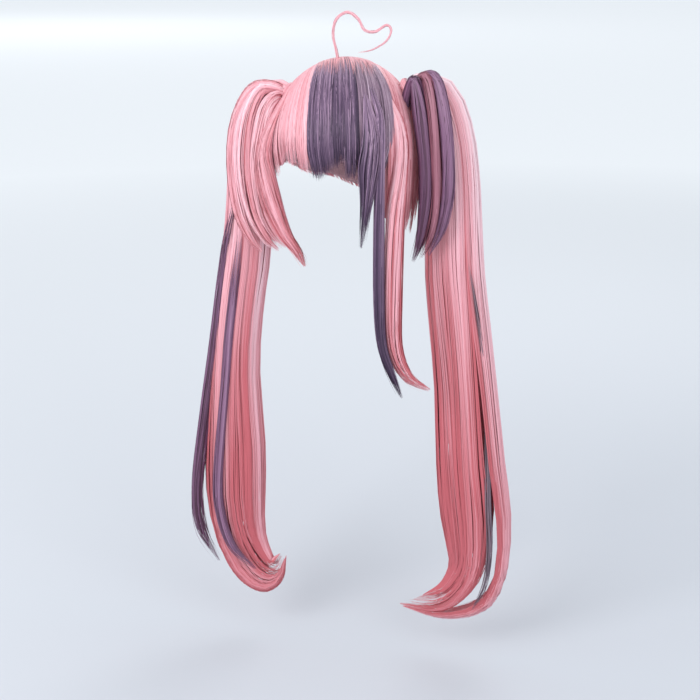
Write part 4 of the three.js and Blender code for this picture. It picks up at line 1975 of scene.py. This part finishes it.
    def sheet(self, bm: bmesh.types.BMesh, angles: tuple[float, float], downs: tuple[float, float]) -> None:
        """Bends a grid on to the head under the strands.

        Args:
            bm: The bmesh to add to.
            angles: First and last angle in degrees.
            downs: First and last share of the way from the crown to the end of the hair.
        """
        columns = max(SHEET_COLUMNS, round((angles[1] - angles[0]) / SHEET_COLUMN))
        made = bmesh.ops.create_grid(bm, x_segments=columns, y_segments=SHEET_LINES, size=0.5)
        places = np.array([vertex.co for vertex in made["verts"]])
        angle = blend(*angles, places[:, 0] + 0.5)
        tip, crest = self.lock_at(angle)
        level = tip + self.notch * (1.0 - crest) + SHEET_SHORT
        down = blend(*downs, 0.5 - places[:, 1])
        points, _ = self.place(angle, down, level, crest, np.full(len(angle), SHEET_SUNK))
        for vertex, point in zip(made["verts"], points * MM):
            vertex.co = point

    def build(self, rng: np.random.Generator, wardrobe: Wardrobe) -> None:
        """Makes the panel's strands and the hair under them.

        Args:
            rng: Source of random numbers.
            wardrobe: Source of materials.
        """
        sets = [self.strands(rng)]
        if self.wisps_to is not None:
            sets.append(self.wisps(rng))
        piece = strand_object(f"{self.node}_strands", sets)
        finished(piece, wardrobe.strands(self.fibre), self.fibre.slot, self.node)
        finished(self.core(), wardrobe.core(self.fibre), self.fibre.slot)


PANELS = (
    Panel(
        "fringe_pink",
        Fibre.PINK,
        -100,
        (
            PanelLock(-82, -124),
            PanelLock(-63, -122),
            PanelLock(-48, -128),
            PanelLock(-35, -108),
            PanelLock(-22, -107),
            PanelLock(-9, -115),
        ),
        relief=0.02,
        tone=0.05,
        valley=0.08,
        notch=6.0,
        jag=5.0,
        gather=0.4,
        gather_from=0.75,
        wisps_to=49,
        pale_share=0.04,
        shade=-0.06,
    ),
    Panel(
        "fringe_purple",
        Fibre.PURPLE,
        -9,
        (PanelLock(3, -122), PanelLock(10, -110), PanelLock(17, -105), PanelLock(27, -117)),
        density=22.0,
        clump=2.4,
        half=0.5,
        relief=0.06,
        valley=0.15,
        notch=4.0,
        jag=5.0,
        begin=0.3,
        tone=0.09,
        fleck=0.16,
        edge=0.14,
        pale_share=0.14,
        feather=1.1,
        spill=(3.5, 0.0),
    ),
    Panel(
        "fringe_lilac",
        Fibre.LILAC,
        27,
        (PanelLock(38, -124), PanelLock(49, -126)),
        density=20.0,
        clump=2.4,
        half=0.5,
        tone=0.1,
        fleck=0.15,
        edge=0.12,
        begin=0.3,
        pale_share=0.2,
        feather=1.2,
        spill=(0.0, 7.0),
    ),
    Panel(
        "side_pink",
        Fibre.PINK,
        49,
        (PanelLock(62, -190), PanelLock(76, -198), PanelLock(88, -198), PanelLock(100, -188)),
        density=11.0,
        steps=20,
        relief=0.04,
        valley=0.15,
        notch=5.0,
        jag=3.0,
        gather_from=0.6,
        tone=0.12,
        edge=0.12,
        shaded_from=90.0,
        shade=-0.12,
    ),
)

TIES = {
    "left": Tie(-79, 8, -34, -0.86, 0.51),
    "right": Tie(79, 8, -25, 0.8, 0.6),
}


@dataclass(frozen=True)
class CombedBack:
    """Hair at the back, combed from the parting and the nape to the tie of one side.

    Angles are in degrees, half widths, radii, falls and insets in millimetres, and the rest are shares.
    """

    side: str
    strand_count: int = 490
    clumps: int = 30
    steps: int = 15
    half: float = 0.85
    crown_until: float = 0.26
    parting_until: float = 0.68
    angles: tuple[float, float] = (COMBED_FROM + 1.0, 179.6)
    nape_turn: float = COMBED_FROM - 179.0
    first_fall: float = 2.0
    early_share: float = 0.6
    late_reach: float = 0.45
    gather: float = 0.5
    gather_span: tuple[float, float] = (0.1, 0.8)
    knot_radius: float = 11.0
    layers: tuple[float, float] = (0.05, 0.22)
    relief: float = 0.12
    rim: float = 0.1
    root_sunk: float = 0.25
    root_width: float = 0.4
    tie_width: float = 0.45
    narrow_from: float = 0.4
    tint: float = 0.48
    tone: float = 0.09
    core_columns: int = 26
    core_lines: int = 20
    core_angles: tuple[float, float] = (COMBED_FROM + 0.3, 179.8)
    core_inset: float = 3.0
    core_sunk: float = 0.45

    @property
    def sign(self) -> float:
        """The side of the head as a sign."""
        return -1.0 if self.side == "left" else 1.0

    def starts(self, share: Vectors) -> Vectors:
        """Finds where strands start, along the crown, down the parting and along the nape to the ear.

        Args:
            share: Shares of that way.

        Returns:
            Points on the outer wall.
        """
        over = np.clip(share / self.crown_until, 0.0, 1.0)
        down = np.clip((share - self.crown_until) / (self.parting_until - self.crown_until), 0.0, 1.0)
        round_nape = np.clip((share - self.parting_until) / (1.0 - self.parting_until), 0.0, 1.0)
        angle = self.sign * (blend(*self.angles, over) + blend(0.0, self.nape_turn, round_nape))
        bottom = HAIR_OUTSIDE.fall_to(edge_level(COMBED_EDGE, angle))
        return HAIR_OUTSIDE.point(np.radians(angle), blend(self.first_fall, bottom, down), BACK_ROOTS)

    def strands(self, rng: np.random.Generator) -> Strands:
        """Lays the strands of one side.

        Args:
            rng: Source of random numbers.

        Returns:
            The strands.
        """
        count = self.strand_count
        share = (np.arange(count) + rng.random(count)) / count
        cell = np.minimum((share * self.clumps).astype(int), self.clumps - 1)
        middle = (cell + 0.5) / self.clumps
        tone = rng.normal(0.0, self.tone, self.clumps)[cell]
        lift = rng.uniform(0.0, self.relief, self.clumps)[cell]
        tie = TIES[self.side]
        knot = np.array([tie.x, tie.y, tie.z])
        early = rng.random(count) < self.early_share
        begin = np.where(early, 0.0, rng.random(count) * self.late_reach)
        along = np.linspace(0.0, 1.0, self.steps)
        way = blend(begin[:, None], 1.0, along[None])
        pull = self.gather * smooth(*self.gather_span, way)
        start = self.starts(share[:, None] + (middle - share)[:, None] * pull)
        gathered = knot + unit(start[:, -1] - knot) * self.knot_radius
        straight = blend(start, gathered[:, None], way[..., None])
        outer, inner = HAIR_OUTSIDE.press(straight), HAIR_INSIDE.press(straight)
        rim = np.abs(share - middle) * self.clumps * 2
        least, varies = self.layers
        sunk = least + varies * rng.random(count) ** LAYER_POWER + lift + self.rim * rim**2
        sunk = sunk[:, None] + self.root_sunk * (1.0 - smooth(0.0, ROOT_LENGTH, way))
        points = blend(outer, inner, sunk[..., None])
        grown = blend(self.root_width, 1.0, smooth(0.0, ROOT_LENGTH, along))
        narrow = blend(1.0, self.tie_width, smooth(self.narrow_from, 1.0, way)) * grown[None]
        half = varied(rng, count, self.half) * narrow
        tint = np.clip(self.tint + tone + rng.normal(0.0, self.tone, count), 0.0, 1.0)
        return Strands(points, half, unit(outer - inner), tint)

    def core(self) -> bpy.types.Object:
        """Bends a grid on to the back of the head under the strands and gives it thickness.

        Returns:
            The new object.
        """
        bm = bmesh.new()
        bmesh.ops.create_grid(bm, x_segments=self.core_columns, y_segments=self.core_lines, size=0.5)
        places = np.array([vertex.co for vertex in bm.verts])
        angle = self.sign * blend(*self.core_angles, places[:, 0] + 0.5)
        level = edge_level(COMBED_EDGE, angle) + self.core_inset
        down = 0.5 - places[:, 1]
        walls = []
        for dome in (HAIR_OUTSIDE, HAIR_INSIDE):
            fall = blend(self.core_inset, dome.fall_to(level), down)
            walls.append(dome.point(np.radians(angle), fall, BACK_ROOTS))
        for vertex, point in zip(bm.verts, blend(*walls, self.core_sunk) * MM):
            vertex.co = point
        thicken(bm)
        return object_of(f"back_{self.side}_core", bm)

    def build(self, rng: np.random.Generator, wardrobe: Wardrobe) -> None:
        """Makes the strands and the hair under them.

        Args:
            rng: Source of random numbers.
            wardrobe: Source of materials.
        """
        node = f"back_{self.side}"
        piece = strand_object(f"{node}_strands", [self.strands(rng)])
        finished(piece, wardrobe.strands(Fibre.PINK), Fibre.PINK.slot, node)
        finished(self.core(), wardrobe.core(Fibre.PINK), Fibre.PINK.slot)


# Ties, heart strand and cap


@dataclass(frozen=True)
class WoundTie:
    """A band of hair wound round the root of a tail."""

    side: str
    strand_count: int = 46
    steps: int = 30
    half: float = 0.9
    vary: float = 0.2
    turns: float = 1.05
    spread: float = 0.9
    sway: float = 0.15
    rises: tuple[float, float] = (0.4, 1.0)
    inset: float = 0.8
    play: float = 1.4
    tip: float = 0.4
    tint: float = 0.42
    fleck: float = 0.1

    def build(self, rng: np.random.Generator, wardrobe: Wardrobe) -> None:
        """Winds the strands round the band.

        Args:
            rng: Source of random numbers.
            wardrobe: Source of materials.
        """
        tie = TIES[self.side]
        way = unit(np.array([tie.out, 0.0, tie.up]))
        ahead = np.array([0.0, -1.0, 0.0])
        over = np.cross(way, ahead)
        middle = np.array([tie.x, tie.y, tie.z]) + way * TIE_LENGTH / 2
        count = self.strand_count
        along = np.linspace(0.0, 1.0, self.steps)[None]
        turned = TURN * (along * self.turns + rng.random(count)[:, None])
        seat = rng.uniform(-self.spread, self.spread, count)[:, None]
        seat = seat + self.sway * np.sin(turned * 2 + rng.random(count)[:, None] * TURN)
        rise = np.sqrt(np.maximum(0.0, 1.0 - seat**2)) * rng.uniform(*self.rises, count)[:, None]
        radius = TIE_INNER + self.inset + rise * (TIE_OUTER - TIE_INNER - self.play)
        out = np.cos(turned)[..., None] * ahead + np.sin(turned)[..., None] * over
        points = middle + out * radius[..., None] + way * (seat * TIE_LENGTH * 0.5)[..., None]
        half = varied(rng, count, self.half, self.vary) * taper(along, tip=self.tip)
        tint = np.clip(self.tint + rng.normal(0.0, self.fleck, count), 0.0, 1.0)
        node = f"tie_{self.side}"
        piece = strand_object(f"{node}_wound", [Strands(points, half, out, tint)])
        finished(piece, wardrobe.strands(Fibre.PINK), "tie_band", node)


HEART = rows(
    (-6, -10, 3, 3.2, 3.2),
    (-9, -10, 22, 2.2, 2),
    (-14, -10, 46, 2.2, 1.6),
    (-10, -10, 64, 2.3, 1.4),
    (4, -10, 73, 2.4, 1.3),
    (18, -10, 65, 2.3, 1.3),
    (26, -10, 52, 2.2, 1.4),
    (40, -10, 50, 2.2, 1.4),
    (54, -10, 58, 2, 1.4),
    (60, -10, 51, 1.8, 1.3),
    (53, -10, 38, 1.6, 1.2),
    (36, -10, 28, 1.2, 1),
    (18, -10, 24, TIP, TIP),
)


@dataclass(frozen=True)
class HeartStrand:
    """The springy strand on the crown, a flat twisted bundle bent into a heart."""

    strand_count: int = 34
    steps: int = 72
    half: float = 0.34
    vary: float = 0.2
    root: float = 0.8
    tip: float = 0.25
    thin_from: float = 0.8
    twists: float = 3.0
    ragged: float = 0.12
    fill: float = 0.85
    fleck: float = 0.12

    def build(self, rng: np.random.Generator, wardrobe: Wardrobe) -> None:
        """Makes the bundle.

        Args:
            rng: Source of random numbers.
            wardrobe: Source of materials.
        """
        count = self.strand_count
        along = np.linspace(0.0, 1.0, self.steps)[None]
        end = 1.0 - self.ragged * rng.random(count)[:, None] ** 2
        shares = along * end
        turned = rng.uniform(0.0, TURN, count)[:, None] + TURN * self.twists * shares
        radius = self.fill * np.sqrt(rng.random(count))[:, None] * np.ones_like(shares)
        points, face = LockPath(HEART).points(shares, radius * np.cos(turned), radius * np.sin(turned))
        thin = taper(along, root=self.root, tip=self.tip, thin_from=self.thin_from)
        half = varied(rng, count, self.half, self.vary) * thin
        tint = np.clip(MID_TINT + rng.normal(0.0, self.fleck, count), 0.0, 1.0)
        piece = strand_object("heart_strand_strands", [Strands(points, half, face, tint)])
        finished(piece, wardrobe.strands(Fibre.PINK), Fibre.PINK.slot, "heart_strand")


@dataclass(frozen=True)
class CapFinish:
    """Soft open net."""

    thread: Colour = (216, 184, 189)
    hole: Colour = (160, 124, 133)
    roughness: float = 0.8
    mesh: float = 2.2
    contrast: float = 3.0
    edges: tuple[float, float] = (0.2, 0.6)
    relief: float = 0.6
    relief_depth: float = 0.5

    def material(self) -> bpy.types.Material:
        """Makes the net's material.

        Returns:
            The material.
        """
        nodes = Nodes("cap_net")
        coordinates = nodes.add("ShaderNodeTexCoord").outputs["Object"]
        scale = 1.0 / (self.mesh * MM)
        cells = nodes.add("ShaderNodeTexVoronoi", Vector=coordinates, Scale=scale)
        cells.feature = "DISTANCE_TO_EDGE"
        share = nodes.sum("MULTIPLY", cells.outputs["Distance"], self.contrast)
        stops = tuple(zip(self.edges, (self.thread, self.hole)))
        nodes.put(nodes.shader, "Base Color", nodes.ramp(share, stops))
        depth = self.relief_depth * MM
        relief = nodes.add("ShaderNodeBump", Height=share, Strength=self.relief, Distance=depth)
        relief.invert = True
        nodes.put(nodes.shader, "Normal", relief.outputs["Normal"])
        nodes.put(nodes.shader, "Roughness", self.roughness)
        return nodes.material


@dataclass(frozen=True)
class Cap:
    """The sewn net cap, with rows of stitching that hold the hair."""

    columns: int = 80
    lines: int = 48
    row_gap: float = 11.0
    row_rise: float = 0.7
    row_power: int = 4
    weld: float = 0.01

    def build(self) -> None:
        """Bends a grid into the cap's wall."""
        bm = bmesh.new()
        bmesh.ops.create_grid(bm, x_segments=self.columns, y_segments=self.lines, size=0.5)
        places = np.array([vertex.co for vertex in bm.verts])
        angle = 360.0 * places[:, 0]
        down = 0.5 - places[:, 1]
        level = edge_level(CAP_RIM, angle)
        fall = HEAD.fall_to(level) * down
        points = HEAD.point(np.radians(angle), fall, CROWN)
        rows_out = np.cos(TURN * fall / self.row_gap)
        swell = np.maximum(0.0, rows_out) ** self.row_power * self.row_rise
        away = unit(points - (0.0, 0.0, HEAD.middle))
        for vertex, point in zip(bm.verts, (points - away * swell[:, None]) * MM):
            vertex.co = point
        bmesh.ops.remove_doubles(bm, verts=bm.verts, dist=self.weld * MM)
        bmesh.ops.recalc_face_normals(bm, faces=bm.faces)
        bmesh.ops.solidify(bm, geom=bm.faces, thickness=-CAP_WALL * MM)
        finished(object_of("cap_net", bm), CapFinish().material(), "net", "cap")


# Studio


@dataclass(frozen=True)
class Softbox:
    """A square light and the point that it faces."""

    name: str
    place: tuple[float, float, float]
    size: float
    power: float
    aim: tuple[float, float, float] = (0.0, 0.0, -0.15)

    def build(self) -> None:
        """Sets up the light, which the camera does not see."""
        light = bpy.data.lights.new(self.name, "AREA")
        light.size = self.size
        light.energy = self.power
        lamp = bpy.data.objects.new(self.name, light)
        lamp.location = self.place
        lamp.rotation_euler = (Vector(self.aim) - Vector(self.place)).to_track_quat("-Z", "Y").to_euler()
        lamp.visible_camera = False
        bpy.context.scene.collection.objects.link(lamp)


@dataclass(frozen=True)
class Studio:
    """A pale floor with painted shade round the wig, soft light and the camera."""

    floor_level: float = -0.81
    floor_size: float = 400.0
    # Painted shade on the floor: its colour round the wig, the middle and scale of the darkened patch, and the
    # share of the way in where it is full
    floor_shade_colour: Colour = (196, 199, 206)
    floor_shade_place: tuple[float, float] = (-0.12, 0.05)
    floor_shade_scale: float = 0.2
    floor_shade_share: float = 0.85
    far_colour: Colour = (252, 253, 255)
    floor_roughness: float = 0.9
    sky_colour: Colour = (244, 250, 255)
    sky_strength: float = 0.92
    azimuth: float = 14.0
    elevation: float = 17.0
    distance: float = 1.705
    side_shift: float = 0.005
    aim_level: float = -0.368
    lens: float = 65.0
    sensor: float = 36.0
    softboxes: tuple[Softbox, ...] = (
        Softbox("key_softbox", (-1.2, -2.1, 1.1), 1.5, 38.0),
        Softbox("fill_softbox", (2.0, -1.8, 1.0), 1.6, 16.0),
        Softbox("back_softbox", (0.3, 1.8, 1.4), 1.4, 12.0),
        Softbox("backdrop_softbox", (-9.0, 16.0, 5.5), 6.0, 110.0, (-9.0, 16.0, -0.81)),
    )

    def build(self) -> None:
        """Sets up the floor, sky, lights and camera."""
        self.floor()
        self.sky()
        for softbox in self.softboxes:
            softbox.build()
        self.camera()

    def floor(self) -> None:
        """Lays the pale floor, darkened round the wig as painted shade."""
        bm = bmesh.new()
        below = Matrix.Translation((0.0, 0.0, self.floor_level))
        bmesh.ops.create_grid(bm, x_segments=1, y_segments=1, size=self.floor_size, matrix=below)
        floor = object_of("floor", bm)
        nodes = Nodes("floor_paper")
        coordinates = nodes.add("ShaderNodeTexCoord").outputs["Object"]
        floor_shade_mapping = nodes.add("ShaderNodeMapping", Vector=coordinates)
        nodes.put(floor_shade_mapping, "Location", (*self.floor_shade_place, -self.floor_level))
        nodes.put(floor_shade_mapping, "Scale", (self.floor_shade_scale, self.floor_shade_scale, 1.0))
        distance = nodes.add("ShaderNodeTexGradient", Vector=floor_shade_mapping.outputs[0])
        distance.gradient_type = "SPHERICAL"
        shades = ((0.0, self.far_colour), (self.floor_shade_share, self.floor_shade_colour))
        nodes.put(nodes.shader, "Base Color", nodes.ramp(distance.outputs["Fac"], shades))
        nodes.put(nodes.shader, "Roughness", self.floor_roughness)
        floor.data.materials.append(nodes.material)

    def sky(self) -> None:
        """Makes the light that comes from all round."""
        scene = bpy.context.scene
        world = scene.world or bpy.data.worlds.new("sky")
        scene.world = world
        world.use_nodes = True
        background = world.node_tree.nodes["Background"]
        background.inputs["Color"].default_value = linear(self.sky_colour)
        background.inputs["Strength"].default_value = self.sky_strength
        scene.view_settings.view_transform = "Standard"

    def camera(self) -> None:
        """Places the camera at the photograph's angle."""
        turned, raised = math.radians(self.azimuth), math.radians(self.elevation)
        right = Vector((math.cos(turned), math.sin(turned), 0.0))
        flat = math.cos(raised)
        back = Vector((math.sin(turned) * flat, -math.cos(turned) * flat, math.sin(raised)))
        data = bpy.data.cameras.new("camera")
        data.lens = self.lens
        data.sensor_width = self.sensor
        camera = bpy.data.objects.new("camera", data)
        camera.location = right * self.side_shift + Vector((0.0, 0.0, self.aim_level)) + back * self.distance
        camera.rotation_euler = (-back).to_track_quat("-Z", "Y").to_euler()
        bpy.context.scene.collection.objects.link(camera)
        bpy.context.scene.camera = camera


def main() -> None:
    """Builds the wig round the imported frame, piece by piece."""
    logging.basicConfig(level=logging.INFO, format="%(name)s: %(message)s")
    for default in list(bpy.data.objects):
        bpy.data.objects.remove(default)
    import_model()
    Studio().build()
    wardrobe = Wardrobe()
    Cap().build()
    builders = (
        *PANELS,
        CombedBack("left"),
        CombedBack("right"),
        *FACE_LOCKS,
        *LAYERS,
        *STREAKS,
        *TAILS,
        WoundTie("left"),
        WoundTie("right"),
        HeartStrand(),
    )
    for number, builder in enumerate(builders):
        builder.build(np.random.default_rng(SEED + number), wardrobe)


if __name__ == "__main__":
    main()
